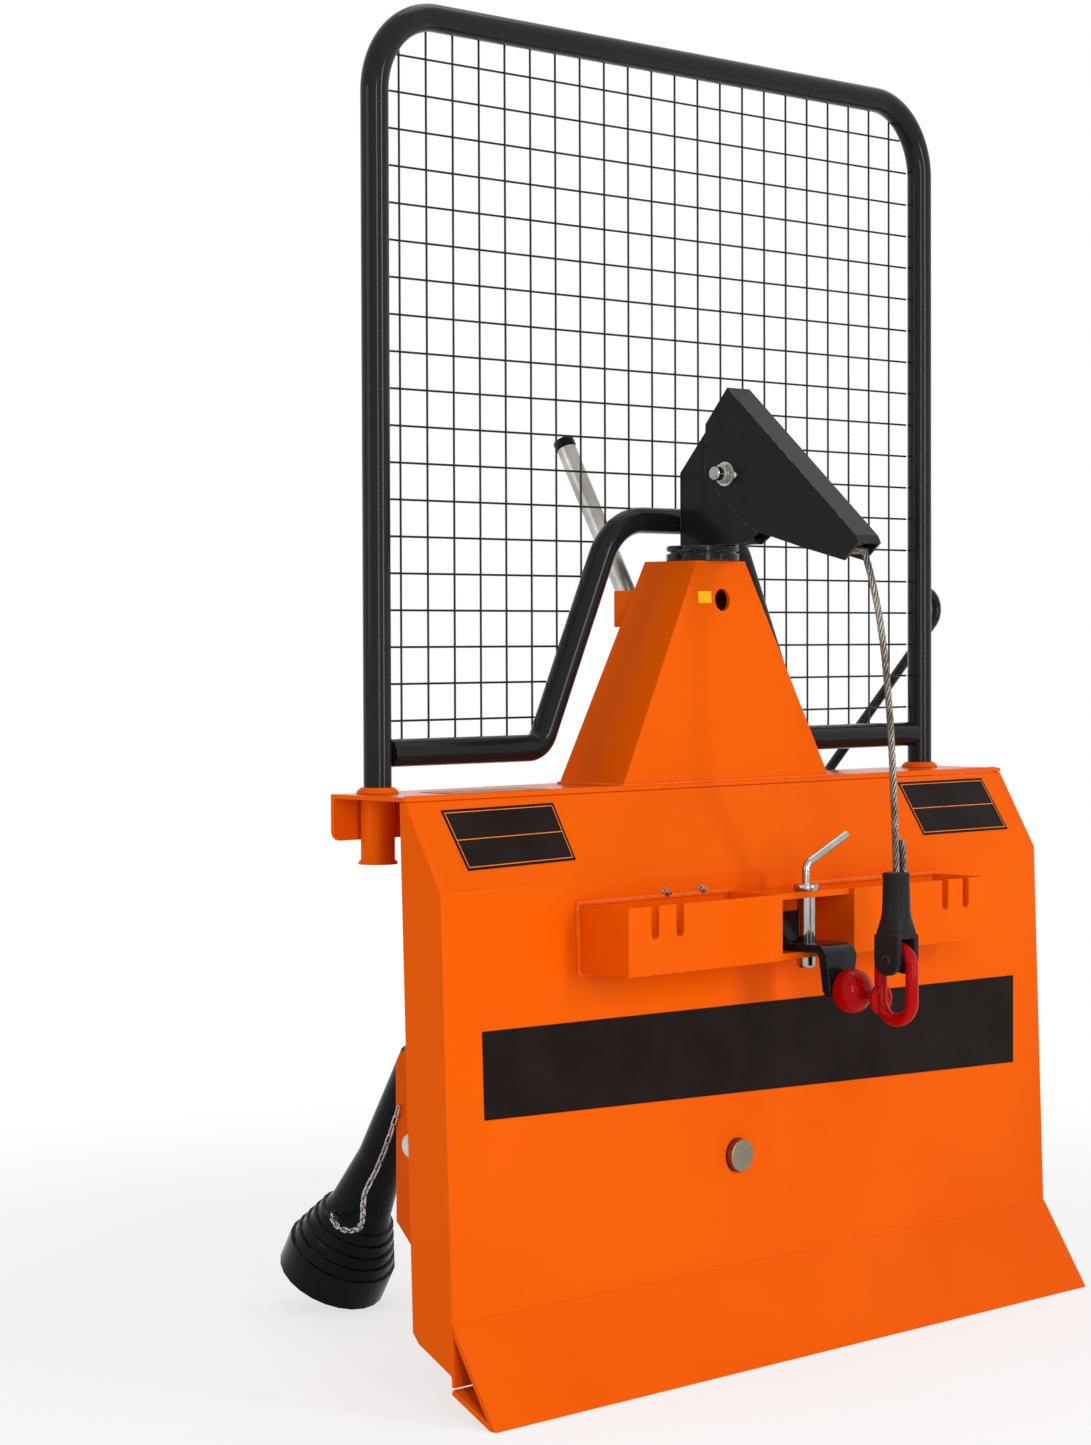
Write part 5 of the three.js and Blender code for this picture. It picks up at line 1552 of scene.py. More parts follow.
@dataclass(frozen=True)
class RopeEnd(Assembly):
    """The hanging wire rope with its socket, link and swivel.

    Flat places are (Y, Z). The barrel's tables hold shares of its radius and heights over its ends.
    """

    radius: float = 5.0
    mouth: Flat = (-86.176, 1130.98)
    end: Flat = (-142.43, 688.6)
    lay: float = 62.0
    step: float = 3.0
    rope_foot: float = 611.0
    stub_shares: Point = (1.9, 2.0, 2.1)
    stub_set_back: Point = (4.0, 4.0, 1.0)
    stub_sink: float = 4.0
    stub_middle: float = 708.0
    stub_top: float = 732.0
    barrel: Flat = (634.3, 688.3)
    barrel_radius: float = 20.0
    barrel_foot: tuple[Flat, ...] = ((0.0, -2.0), (1.0, -2.0), (0.97, 12.0))
    barrel_head: tuple[Flat, ...] = ((0.93, -9.0), (0.98, -5.0), (0.9, -0.5), (0.5, 0.0), (0.0, 0.0))
    shoulder_low: float = 602.3
    shoulder_overlap: float = 6.0
    shoulder_share: float = 0.97
    legs: Flat = (13.5, 23.5)
    leg_half: float = 21.0
    leg_ease: float = 1.6
    lobe_rise: float = 10.0
    lobe_slack: float = 0.01
    pin_z: float = 567.0
    pin_radius: float = 8.0
    pin_proud: float = 2.0
    pin_ease: float = 1.6
    link_z: float = 533.8
    link_half: float = 27.5
    link_straight: float = 46.0
    link_wire: float = 9.0
    eye: Flat = (-114.93, 510.8)
    eye_ring: float = 15.6
    eye_wire: float = 6.0
    neck_radius: float = 5.0
    neck: Flat = (-99.3, -90.4)
    neck_z: float = 514.3
    swivel_z: float = 517.8
    swivel_front: float = -90.03
    swivel_length: float = 42.0
    swivel_radius: float = 31.0

    def route(self) -> list[Point]:
        """Returns the hanging rope's line, from the nozzle's mouth down to the socket."""
        shares = (
            (0, 0), (0.17, 0.06), (0.32, 0.125), (0.44, 0.185), (0.54, 0.25), (0.63, 0.32), (0.7, 0.39),
            (0.76, 0.46), (0.81, 0.53), (0.85, 0.6), (0.885, 0.67), (0.915, 0.74), (0.94, 0.8), (0.96, 0.86),
            (0.98, 0.92), (0.99, 0.96), (1, 1))
        reach, drop = self.end[0] - self.mouth[0], self.end[1] - self.mouth[1]
        return [(0.0, self.mouth[0] + reach * across, self.mouth[1] + drop * down) for across, down in shares]

    def shoulder(self, share: float) -> tuple[list[Flat], float]:
        """Makes a ring of the shoulder, between the legs' square and the round barrel.

        Args:
            share: its place, 0 at the legs and 1 at the barrel.

        Returns:
            The ring's points and its height.
        """
        y, radius = self.end[0], self.barrel_radius
        blend = share * share * (3 - 2 * share)
        ring = []
        for u, v in circle(1.0, count=40):
            corner = max(abs(u) / self.legs[1], abs(v) / self.leg_half)
            flat = (u / corner * self.shoulder_share, v / corner * self.shoulder_share)
            ring.append((
                flat[0] + (u * radius - flat[0]) * blend,
                y + flat[1] + (v * radius - flat[1]) * blend))
        low, rise = self.shoulder_low - self.shoulder_overlap, self.barrel[0] + self.shoulder_overlap
        return ring, low + (rise - self.shoulder_low) * share

    def socket(self) -> bpy.types.Object:
        """Makes the cast socket: a waisted barrel over two legs with rounded lobes."""
        y, radius = self.end[0], self.barrel_radius
        low, high = self.barrel
        levels = 4
        form = Form().loft([self.shoulder(level / levels) for level in range(levels + 1)])
        profile = [(radius * share, low + rise) for share, rise in self.barrel_foot]
        profile += [(radius * share, high + rise) for share, rise in self.barrel_head]
        form.turned(profile, Axis.Z, (0.0, y, 0.0), sides=40)
        for side in (-1, 1):
            inner, outer = sorted((side * self.legs[0], side * self.legs[1]))
            ring = circle(self.leg_half, count=48)
            lobe = [(y + u, self.pin_z + v) for u, v in ring if v <= self.lobe_slack]
            lobe += [(y - self.leg_half, self.shoulder_low), (y + self.leg_half, self.shoulder_low)]
            lobe.sort(key=lambda spot: math.atan2(spot[1] - self.pin_z - self.lobe_rise, spot[0] - y))
            form.prism(lobe, Axis.X, inner, outer)
        return form.piece("cast_socket")

    def link(self) -> bpy.types.Object:
        """Makes the welded link as a closed bar."""
        y = self.end[0]
        half, straight, turn_step = self.link_half, self.link_straight / 2, 9
        line = []
        for turn in range(-90, 270, turn_step):
            lift = straight if -90 <= turn < 90 else -straight
            angle = math.radians(turn)
            line.append((0.0, y + half * math.sin(-angle), self.link_z + lift + half * math.cos(angle)))
        return Form().tube(line, self.link_wire, sides=28, looped=True).piece("red_link_bar")

    def eye_bar(self) -> bpy.types.Object:
        """Makes the swivel's eye and its neck."""
        y, z = self.eye
        ring = [(x, y, z + v) for x, v in circle(self.eye_ring, count=48)]
        form = Form().tube(ring, self.eye_wire, sides=24, looped=True)
        form.rod(self.neck_radius, Axis.Y, *self.neck, (0.0, 0.0, self.neck_z), sides=24)
        return form.piece("swivel_eye_bar")

    def swivel(self) -> bpy.types.Object:
        """Makes the swivel's round body."""
        shares = (
            (0, 0), (0, 0.3), (0.02, 0.8), (0.07, 0.9), (0.14, 0.96), (0.26, 0.99), (0.42, 1), (0.55, 0.97),
            (0.66, 0.93), (0.77, 0.83), (0.86, 0.7), (0.94, 0.54), (0.99, 0.4), (1, 0.2), (1, 0))
        front = self.swivel_front + self.swivel_length
        profile = [(self.swivel_radius * out, front - self.swivel_length * along) for along, out in shares]
        return Form().turned(profile, Axis.Y, (0.0, 0.0, self.swivel_z), sides=56).piece("swivel_knob")

    def build(self, dresser: Dresser) -> None:
        """Makes the rope first, then what it carries."""
        looks, y = dresser.looks, self.end[0]
        line = [*smoothed(self.route(), steps=2), (0.0, y, self.barrel[0]), (0.0, y, self.rope_foot)]
        rope = dresser.rope("hanging_rope", line, self.radius, self.lay, self.step)
        heights = (self.barrel[1] - self.stub_sink, self.stub_middle, self.stub_top)
        stub = [
            (self.radius * share, y - back, z)
            for share, back, z in zip(self.stub_shares, self.stub_set_back, heights)]
        tail = dresser.rope("rope_tail", smoothed(stub, steps=4), self.radius, self.lay, self.step)
        dresser.dress(rope, looks.rope, Body.ROPE_END, ("wire_rope",), smooth=60)
        dresser.dress(tail, looks.rope, Body.ROPE_END, smooth=60)
        socket = dresser.dress(
            self.socket(), looks.boot, Body.ROPE_END, ("rope_socket",), self.leg_ease, segments=3, smooth=50)
        half = self.legs[1] + self.pin_proud
        centre = (0.0, y, self.pin_z)
        pin = Form().rod(self.pin_radius, Axis.X, -half, half, centre, sides=32, edge=self.pin_ease)
        bolt = dresser.dress(pin.piece("socket_pin_bar"), looks.black, Body.ROPE_END, ("socket_pin",))
        link = dresser.dress(self.link(), looks.red, Body.ROPE_END, ("red_link",), smooth=80)
        eye = dresser.dress(self.eye_bar(), looks.red, Body.ROPE_END, ("swivel_eye",), smooth=60)
        dresser.dress(self.swivel(), looks.red, Body.SWIVEL, ("swivel_body",), smooth=50)


@dataclass(frozen=True)
class SafetyChain(Assembly):
    """The chain that keeps the drive shaft's guard from turning."""

    wire: float = 1.3
    link_length: float = 18.0
    link_width: float = 6.8
    pitch: float = 15.4
    route: tuple[Point, ...] = (
        (-424.8, 410, 354), (-424.8, 424, 322), (-424.8, 440, 290), (-424.8, 459, 257), (-424.8, 482, 224),
        (-411, 503, 199), (-393, 524, 177), (-377, 547, 160), (-363, 572, 149), (-350, 602, 142),
        (-339, 634, 140), (-327, 663, 145), (-316, 679, 150), (-304.6, 686, 152.5))

    def build(self, dresser: Dresser) -> None:
        """Makes the chain from the cheek to the bell guard."""
        look = dresser.looks.chrome
        line = smoothed(self.route, steps=3)
        chain = dresser.links.run(
            "safety_chain", [line[1:-1]], look.material, Pitch=self.pitch, Link_length=self.link_length,
            Link_width=self.link_width, Link_wire=self.wire)
        dresser.dress(chain, look, Body.SHAFT_LOWER, ("guard_chain",), smooth=60)


# Orange sheet metal


@dataclass(frozen=True)
class Shield(Assembly):
    """Front shield, docking blade, top plate and the posts' sockets.

    The folds are (Y, Z). The socket's foot is (radius, Z), and its crown's heights are over the top edge.
    """

    half_width: float = 640.7
    fold: Flat = (74.3, 127.1)
    crease: Flat = (92.7, 682.7)
    top_edge: Flat = (163.1, 804.7)
    bolt_x: Flat = (-217.0, -143.0)
    bolt_z: float = 660.0
    bolt_sink: float = 0.4
    bolt_head: Flat = (6.0, 5.0)
    bolt_thread: Flat = (3.0, 6.0)
    bolt_ease: float = 0.3
    post_x: float = 583.3
    post_y: float = 276.6
    socket_foot: tuple[Flat, ...] = (
        (19.3, 710.0), (26.2, 710.0), (27.0, 711.0), (26.0, 713.5), (23.0, 716.5))
    socket_crown: tuple[Flat, ...] = (
        (23.0, 0.3), (28.4, 0.3), (29.0, 1.2), (27.6, 3.8), (23.8, 7.2), (22.4, 8.2), (19.3, 8.2))
    shield_ease: float = 3.0
    blade_ease: float = 1.4
    plate_ease: float = 1.6
    seam_inset: float = 6.0
    seam_back: float = 3.0
    seam_sink: float = 0.6
    seam_pitch: float = 3.2
    seam_drop: float = 2.2

    @staticmethod
    def between(low: Flat, high: Flat, z: float) -> float:
        """Returns the Y of the line from low to high at a height."""
        (y0, z0), (y1, z1) = low, high
        return y0 + (z - z0) * (y1 - y0) / (z1 - z0)

    def face_y(self, z: float) -> float:
        """Returns the front face's Y at a height."""
        return self.between(self.fold, self.crease, z)

    def slope_y(self, z: float) -> float:
        """Returns the sloping face's Y at a height."""
        return self.between(self.crease, self.top_edge, z)

    def socket(self, x: float, name: str) -> bpy.types.Object:
        """Makes one post socket with its rolled crown and flared foot.

        Args:
            x: where it stands.
            name: the piece's name.

        Returns:
            The socket.
        """
        crown = shifted(self.socket_crown, 0.0, self.top_edge[1])
        profile = [*self.socket_foot, *crown, self.socket_foot[0]]
        return Form().turned(profile, Axis.Z, (x, self.post_y, 0.0), sides=56).piece(name)

    def build(self, dresser: Dresser) -> None:
        """Makes the shield's pieces."""
        looks = dresser.looks
        dresser.sheet_metal("front_shield", bevel=self.shield_ease)
        dresser.sheet_metal("docking_blade", bevel=self.blade_ease)
        dresser.sheet_metal("top_plate", bevel=self.plate_ease)
        for side, x in (("left", -self.post_x), ("right", self.post_x)):
            piece = self.socket(x, f"post_socket_{side[0]}")
            dresser.dress(piece, looks.orange, Body.FRAME, (f"{side}_post_socket",), smooth=50)
        for side, x in zip(("left", "right"), self.bolt_x):
            spot = (x, self.face_y(self.bolt_z) - self.bolt_sink, self.bolt_z)
            piece = dresser.bolts.run(
                f"{side}_face_bolt_hex", [[spot]], looks.chrome.material,
                Head_radius=self.bolt_head[0], Head_height=self.bolt_head[1],
                Thread_radius=self.bolt_thread[0], Thread_length=self.bolt_thread[1])
            node = f"{side}_face_bolt"
            dresser.dress(piece, looks.chrome, Body.FRAME, (node,), self.bolt_ease, segments=1)
        reach, (y, z) = self.half_width - self.seam_inset, self.top_edge
        heel = [(x, y + self.seam_back, z - self.seam_sink) for x in (-reach, reach)]
        dresser.weld("top_seam", [heel], self.seam_pitch, self.seam_drop)


@dataclass(frozen=True)
class Labels(Assembly):
    """Bare film panels on the shield, the top plate and the tower.

    The corners run low left, low right, high right, high left. They are (X, Z), and (X, Y) on the top plate.
    """

    shield: Shield = Shield()
    thickness: float = 0.25
    proud: float = 0.35
    line_lift: float = 0.3
    line_inset: float = 4.0
    line_width: float = 1.2
    band: tuple[Flat, ...] = ((-574, 383), (569, 350), (575, 485), (-574, 499))
    left_panel: tuple[Flat, ...] = ((-578, 708), (-374, 712), (-374, 788), (-585, 786))
    right_panel: tuple[Flat, ...] = ((380, 711), (592, 711), (584, 790), (374, 790))
    top_film: tuple[Flat, ...] = ((-533, 185), (-345, 185), (-345, 250), (-533, 250))
    tower_film: tuple[Flat, ...] = ((-52.5, 1062), (-24.5, 1062), (-24.5, 1079), (-52.5, 1079))
    tower_front: float = 165.0
    tower_lean_share: float = 0.0471

    def film(
        self, dresser: Dresser, name: str, corners: Sequence[Point], look: Look, lift: float = 0.0,
    ) -> None:
        """Makes a thin sheet through four corners.

        Args:
            dresser: finishes the piece.
            name: the piece's name.
            corners: its corners in order.
            look: the film.
            lift: how much further from the face it lies.
        """
        spots = [Vector(corner) for corner in corners]
        out = (spots[1] - spots[0]).cross(spots[2] - spots[0]).normalized()
        near, far = self.proud + lift, self.proud + lift + self.thickness
        form = Form().add(
            [tuple(spot + out * height) for height in (near, far) for spot in spots],
            [(0, 1, 2, 3), (4, 5, 6, 7), (0, 1, 5, 4), (1, 2, 6, 5), (2, 3, 7, 6), (3, 0, 4, 7)])
        dresser.dress(form.piece(name), look, Body.FRAME)

    def border(self, dresser: Dresser, name: str, corners: Sequence[Point]) -> None:
        """Makes the thin bare line that runs inside a panel's edge, and the line that halves it.

        Args:
            dresser: finishes the pieces.
            name: the first part of their names.
            corners: the panel's corners in order.
        """
        inset, width = self.line_inset, self.line_width
        low_left, low_right, high_right, high_left = (Vector(corner) for corner in corners)
        along, rise = (low_right - low_left), (high_left - low_left)

        def at(u: float, v: float) -> Point:
            """Returns a point of the panel by its distances from the low left corner."""
            low = low_left + (low_right - low_left) * (u / along.length)
            high = high_left + (high_right - high_left) * (u / along.length)
            return tuple(low + (high - low) * (v / rise.length))

        end_u, end_v, mid = along.length - inset, rise.length - inset, rise.length / 2
        low, high = inset + width, end_v - width
        bars = (
            (inset, end_u, inset, low), (inset, end_u, high, end_v),
            (inset, end_u, mid - width / 2, mid + width / 2),
            (inset, inset + width, low, high), (end_u - width, end_u, low, high))
        for index, (u0, u1, v0, v1) in enumerate(bars):
            spots = [at(u0, v0), at(u1, v0), at(u1, v1), at(u0, v1)]
            self.film(dresser, f"{name}_line_{index}", spots, dresser.looks.line, self.line_lift)

    def build(self, dresser: Dresser) -> None:
        """Makes the band, the two panels and the two small films."""
        looks, shield, top_z = dresser.looks, self.shield, self.shield.top_edge[1]
        self.film(dresser, "face_band", [(x, shield.face_y(z), z) for x, z in self.band], looks.band)
        for name, corners in (("left_panel", self.left_panel), ("right_panel", self.right_panel)):
            spots = [(x, shield.slope_y(z), z) for x, z in corners]
            self.film(dresser, name, spots, looks.band)
            self.border(dresser, name, spots)
        self.film(dresser, "top_film", [(x, y, top_z) for x, y in self.top_film], looks.pale)
        low, high = self.tower_film[0][1], self.tower_film[2][1]
        middle, rise = (low + high) / 2, (high - low) / 2 * self.tower_lean_share
        tower_y = self.tower_front + (middle - top_z) * self.tower_lean_share
        spots = [(x, tower_y + (rise if z > middle else -rise), z) for x, z in self.tower_film]
        self.film(dresser, "tower_film", spots, looks.yellow)


@dataclass(frozen=True)
class Tower(Assembly):
    """The tapered tower and its weld to the top plate."""

    base_half: float = 223.0
    front: float = 165.0
    back: float = 290.0
    base_z: float = 806.0
    ease: float = 2.6
    bead_out: float = 1.0
    bead_pitch: float = 3.4
    bead_drop: float = 2.6

    def build(self, dresser: Dresser) -> None:
        """Makes the tower."""
        dresser.sheet_metal("tower", bevel=self.ease)
        half, z, side = self.base_half, self.base_z, self.base_half + self.bead_out
        before = self.front - self.bead_out
        foot = [
            [(-half, before, z), (half, before, z)], [(-side, self.front, z), (-side, self.back, z)],
            [(side, self.front, z), (side, self.back, z)]]
        dresser.weld("tower_seam", foot, self.bead_pitch, self.bead_drop)


# Guard


@dataclass(frozen=True)
class Guard(Assembly):
    """The bent tube guard and its welded mesh."""

    post_x: float = 583.3
    tube_y: float = 276.6
    tube_radius: float = 19.0
    bottom_z: float = 716.0
    top_z: float = 1853.7
    corner: float = 112.0
    lower_z: float = 858.0
    lower_gap: float = 0.3
    notch_z: float = 1183.0
    notch_bottom: float = 277.0
    notch_top: float = 124.0
    notch_foot_bend: float = 34.0
    notch_bend: float = 95.0
    wire: float = 1.55
    wire_y: float = 293.6
    wire_ease: float = 11.5
    wire_back_share: float = 0.9
    pitch: float = 50.0
    columns: int = 22
    top_wire_z: float = 1800.6

    def arch(self) -> list[Flat]:
        """Returns the line of the posts and the top rail."""
        x, z = self.post_x, self.top_z
        line = [(-x, self.bottom_z), (-x, z, self.corner), (x, z, self.corner), (x, self.bottom_z)]
        return rounded(line, steps=24)

    def lower(self, reach: float) -> list[Flat]:
        """Returns the line of the lower tube, which rises over the tower."""
        low, high, foot_bend, bend = self.lower_z, self.notch_z, self.notch_foot_bend, self.notch_bend
        return rounded([
            (-reach, low), (-self.notch_bottom, low, foot_bend), (-self.notch_top, high, bend),
            (self.notch_top, high, bend), (self.notch_bottom, low, foot_bend), (reach, low)], steps=14)

    def window(self) -> list[Flat]:
        """Returns the outline that the wires end on."""
        upper = [(x, max(z, self.lower_z)) for x, z in self.arch()]
        return [*upper, *self.lower(self.post_x)[1:-1][::-1]]

    def crossings(self, fixed: float, upright: bool) -> list[Flat]:
        """Returns where a wire's line runs inside the window.

        Args:
            fixed: its X if it stands upright, else its Z.
            upright: True for a standing wire.

        Returns:
            Pairs of start and end along the wire.
        """
        window = self.window()
        hits = []
        for (x0, z0), (x1, z1) in zip(window, [*window[1:], window[0]]):
            (a0, b0), (a1, b1) = ((x0, z0), (x1, z1)) if upright else ((z0, x0), (z1, x1))
            if (a0 < fixed) != (a1 < fixed):
                hits.append(b0 + (fixed - a0) / (a1 - a0) * (b1 - b0))
        hits.sort()
        return [pair for pair in zip(hits[::2], hits[1::2]) if pair[1] - pair[0] > 2 * self.tube_radius]

    def routes(self) -> list[list[Point]]:
        """Returns the wires' lines, the upright ones in front."""
        ease, lines = self.wire_ease, []
        front, back = self.wire_y - self.wire, self.wire_y + self.wire * self.wire_back_share
        for column in range(self.columns):
            x = (column - (self.columns - 1) / 2) * self.pitch
            for low, high in self.crossings(x, True):
                lines.append([(x, front, low + ease), (x, front, high - ease)])
        for row in range(int((self.top_wire_z - self.lower_z - self.tube_radius) / self.pitch) + 1):
            z = self.top_wire_z - row * self.pitch
            for low, high in self.crossings(z, False):
                lines.append([(low + ease, back, z), (high - ease, back, z)])
        return lines

    def build(self, dresser: Dresser) -> None:
        """Makes the tubes and the wires."""
        looks, reach = dresser.looks, self.post_x - self.tube_radius - self.lower_gap
        for name, line, node in (
            ("guard_arch", self.arch(), "guard_frame"),
            ("guard_lower_bar", self.lower(reach), "guard_lower_tube"),
        ):
            bar = Form().tube([(x, self.tube_y, z) for x, z in line], self.tube_radius, sides=40)
            dresser.dress(bar.piece(name), looks.black, Body.FRAME, (node,), smooth=50)
        mesh = dresser.wires.run("guard_wires", self.routes(), looks.wire.material, Wire_radius=self.wire)
        dresser.dress(mesh, looks.wire, Body.FRAME, ("guard_mesh",), smooth=60)


# Turning head


@dataclass(frozen=True)
class Head(Assembly):
    """The collar, fork, sheave and nozzle arm, and the rope in them.

    The collar's tables are offsets from its rim at its low and high end, and the sheave's cheek is
    (radius, depth). The tables of the washer, the nut's collar and the nipple are (radius, X), with X from
    the nut's inner end, from its outer end and from the nipple's seat.
    """

    axis_y: float = 216.0
    axle: Flat = (149.0, 1246.6)
    pitch_radius: float = 67.0
    groove_radius: float = 5.3
    groove_turn: float = 70.0
    sheave_width: float = 24.0
    sheave_cheek: tuple[Flat, ...] = (
        (10.5, 0.0), (24.0, 0.0), (26.0, 3.0), (50.0, 3.0), (53.0, 0.0), (73.0, 0.0), (74.0, 1.0),
        (74.0, 2.0))
    collar: Flat = (1123.3, 1145.3)
    collar_radius: float = 53.0
    collar_bore: float = 30.5
    collar_low: tuple[Flat, ...] = (
        (-1.2, 0.0), (0.0, 1.2), (0.0, 9.5), (-1.2, 10.7), (-5.0, 10.9), (-5.4, 12.4), (-5.0, 13.6),
        (-1.5, 13.8), (-0.4, 15.0))
    collar_high: tuple[Flat, ...] = ((-0.4, -1.4), (-1.8, 0.0))
    fork_ease: float = 1.2
    nozzle_ease: float = 1.6
    nozzle_outer: float = 24.1
    bolt_radius: float = 10.0
    bolt_left: float = -50.1
    bolt_ease: float = 1.4
    head_gap: float = 0.4
    head_overlap: float = 0.1
    head_radius: float = 16.0
    head_height: float = 10.0
    head_ease: float = 0.8
    nut: Flat = (-37.4, -24.4)
    nut_radius: float = 15.0
    nut_bore: float = 10.3
    nut_block: Flat = (3.5, -2.3)
    nut_ease: float = 0.9
    washer: tuple[Flat, ...] = ((10.3, -2.4), (17.4, -2.4), (17.4, 0.0), (10.3, 0.0), (10.3, -2.4))
    nut_collar: tuple[Flat, ...] = (
        (10.3, 0.0), (11.2, 0.0), (12.4, 1.0), (12.6, 3.6), (10.3, 3.6), (10.3, 0.0))
    nipple: Point = (-24.4, 129.8, 1244.4)
    nipple_profile: tuple[Flat, ...] = (
        (0.0, -9.0), (1.6, -9.0), (2.2, -7.6), (2.1, -6.4), (1.5, -5.6), (2.4, -4.6), (3.0, -4.0),
        (4.4, -3.6), (4.4, 0.0), (0.0, 0.0))
    roller: Flat = (-72.892, 1133.686)
    roller_radius: float = 6.5
    roller_half: float = 19.7
    roller_ease: float = 1.0
    rope_radius: float = 5.0
    rope_lay: float = 62.0
    rope_step: float = 4.0
    rope_low: float = 281.0
    rope_end_gap: float = 1.0
    wrap_turn: float = 66.0
    roller_gap: float = 1.0

    def collar_ring(self) -> bpy.types.Object:
        """Makes the collar in two tiers with eased rims."""
        (low, high), bore, rim = self.collar, self.collar_bore, self.collar_radius
        profile = [
            (bore, low), *shifted(self.collar_low, rim, low), *shifted(self.collar_high, rim, high),
            (bore, high), (bore, low)]
        return Form().turned(profile, Axis.Z, (0.0, self.axis_y, 0.0), sides=72).piece("collar_ring")

    def wheel(self) -> bpy.types.Object:
        """Makes the sheave with a round groove and recessed cheeks."""
        half, groove, steps = self.sheave_width / 2, [], 5
        for step in range(-steps, steps + 1):
            angle = math.radians(self.groove_turn * step / steps)
            sink, side = self.groove_radius * math.cos(angle), self.groove_radius * math.sin(angle)
            groove.append((self.pitch_radius - sink, side))
        cheek = [(radius, depth - half) for radius, depth in self.sheave_cheek]
        far_cheek = [(radius, -side) for radius, side in reversed(cheek)]
        profile = [*cheek, *groove, *far_cheek, cheek[0]]
        return Form().turned(profile, Axis.X, (0.0, *self.axle), sides=72).piece("sheave_wheel")

    def on_sheave(self, degrees: float) -> Point:
        """Returns a point of the rope's line round the sheave."""
        turn = math.radians(degrees)
        y, z = self.axle
        return (0.0, y + self.pitch_radius * math.cos(turn), z + self.pitch_radius * math.sin(turn))

    def bolt_and_nut(self, dresser: Dresser) -> None:
        """Makes the pivot bolt, its nut and the washer.

        Args:
            dresser: finishes the pieces.
        """
        looks, centre = dresser.looks, (0.0, *self.axle)
        (low, high), head = self.nut, self.nozzle_outer + self.head_gap
        bolt = Form().rod(
            self.bolt_radius, Axis.X, self.bolt_left, head, centre, sides=40, edge=self.bolt_ease)
        hexagon = circle(self.head_radius, count=6, centre=self.axle)
        bolt.prism(hexagon, Axis.X, head - self.head_overlap, head + self.head_height)
        dresser.dress(bolt.piece("pivot_bolt_bar"), looks.chrome, Body.HEAD, ("pivot_bolt",), self.head_ease)
        washer = Form().turned(shifted(self.washer, 0.0, high), Axis.X, centre)
        washer.turned(shifted(self.nut_collar, 0.0, low), Axis.X, centre)
        ends = (low + self.nut_block[0], high + self.nut_block[1])
        hexagon = circle(self.nut_radius, count=6, centre=self.axle)
        block = Form().prism(hexagon, Axis.X, *ends).piece("nut_block")
        bore = Form().rod(self.nut_bore, Axis.X, low, high, centre, edge=0.0).piece("nut_bore")
        dresser.dress(carved(block, bore), looks.zinc, Body.HEAD, ("pivot_nut",), self.nut_ease)
        dresser.dress(washer.piece("nut_washer"), looks.zinc, Body.HEAD, smooth=40)

    def ropes(self, dresser: Dresser) -> None:
        """Makes the rope up the tower, over the sheave and through the nozzle.

        Args:
            dresser: finishes the pieces.
        """
        y, z = self.roller
        rise = [(0.0, self.axis_y, height) for height in (self.rope_low, self.axle[1] - self.rope_end_gap)]
        steps = 12
        over = [self.on_sheave(self.wrap_turn * step / steps) for step in range(steps + 1)]
        lift = self.roller_radius + self.rope_radius + self.roller_gap
        run = Vector((y - self.axle[0], z + lift - self.axle[1]))
        lean = math.acos(self.pitch_radius / run.length)
        leave = math.degrees(math.atan2(run.y, run.x) - lean + 2 * math.pi)
        diagonal_share = 0.7071
        bend = (0.0, y - lift * diagonal_share, z + lift * diagonal_share)
        inside = [self.on_sheave(leave), (0.0, y, z + lift), bend]
        for name, line, body, node in (
            ("rising_rope", rise, Body.FRAME, "rope_riser"),
            ("rope_on_sheave", over, Body.HEAD, "rope_over_sheave"),
            ("nozzle_rope", inside, Body.NOZZLE, "rope_in_nozzle"),
        ):
            piece = dresser.rope(name, line, self.rope_radius, self.rope_lay, self.rope_step)
            dresser.dress(piece, dresser.looks.rope, body, (node,), smooth=60)

    def build(self, dresser: Dresser) -> None:
        """Makes the head's pieces."""
        looks, (x, y, z) = dresser.looks, self.nipple
        dresser.dress(self.collar_ring(), looks.black, Body.HEAD, ("swivel_collar",), smooth=40)
        dresser.cad_piece("head_fork", "fork_plates", looks.black, Body.HEAD, self.fork_ease, segments=3)
        dresser.dress(self.wheel(), looks.steel, Body.SHEAVE, ("sheave",), smooth=40)
        dresser.cad_piece(
            "nozzle_shell", "nozzle_arm", looks.black, Body.NOZZLE, self.nozzle_ease, segments=3)
        self.bolt_and_nut(dresser)
        tip = Form().turned(shifted(self.nipple_profile, 0.0, x), Axis.X, (0.0, y, z), sides=28)
        dresser.dress(tip.piece("nipple_tip"), looks.zinc, Body.NOZZLE, ("grease_nipple",), smooth=40)
        half, centre = self.roller_half, (0.0, *self.roller)
        roller = Form().rod(self.roller_radius, Axis.X, -half, half, centre, sides=36, edge=self.roller_ease)
        dresser.dress(roller.piece("roller_bar"), looks.steel, Body.ROLLER, ("mouth_roller",))
        self.ropes(dresser)


# Hitch


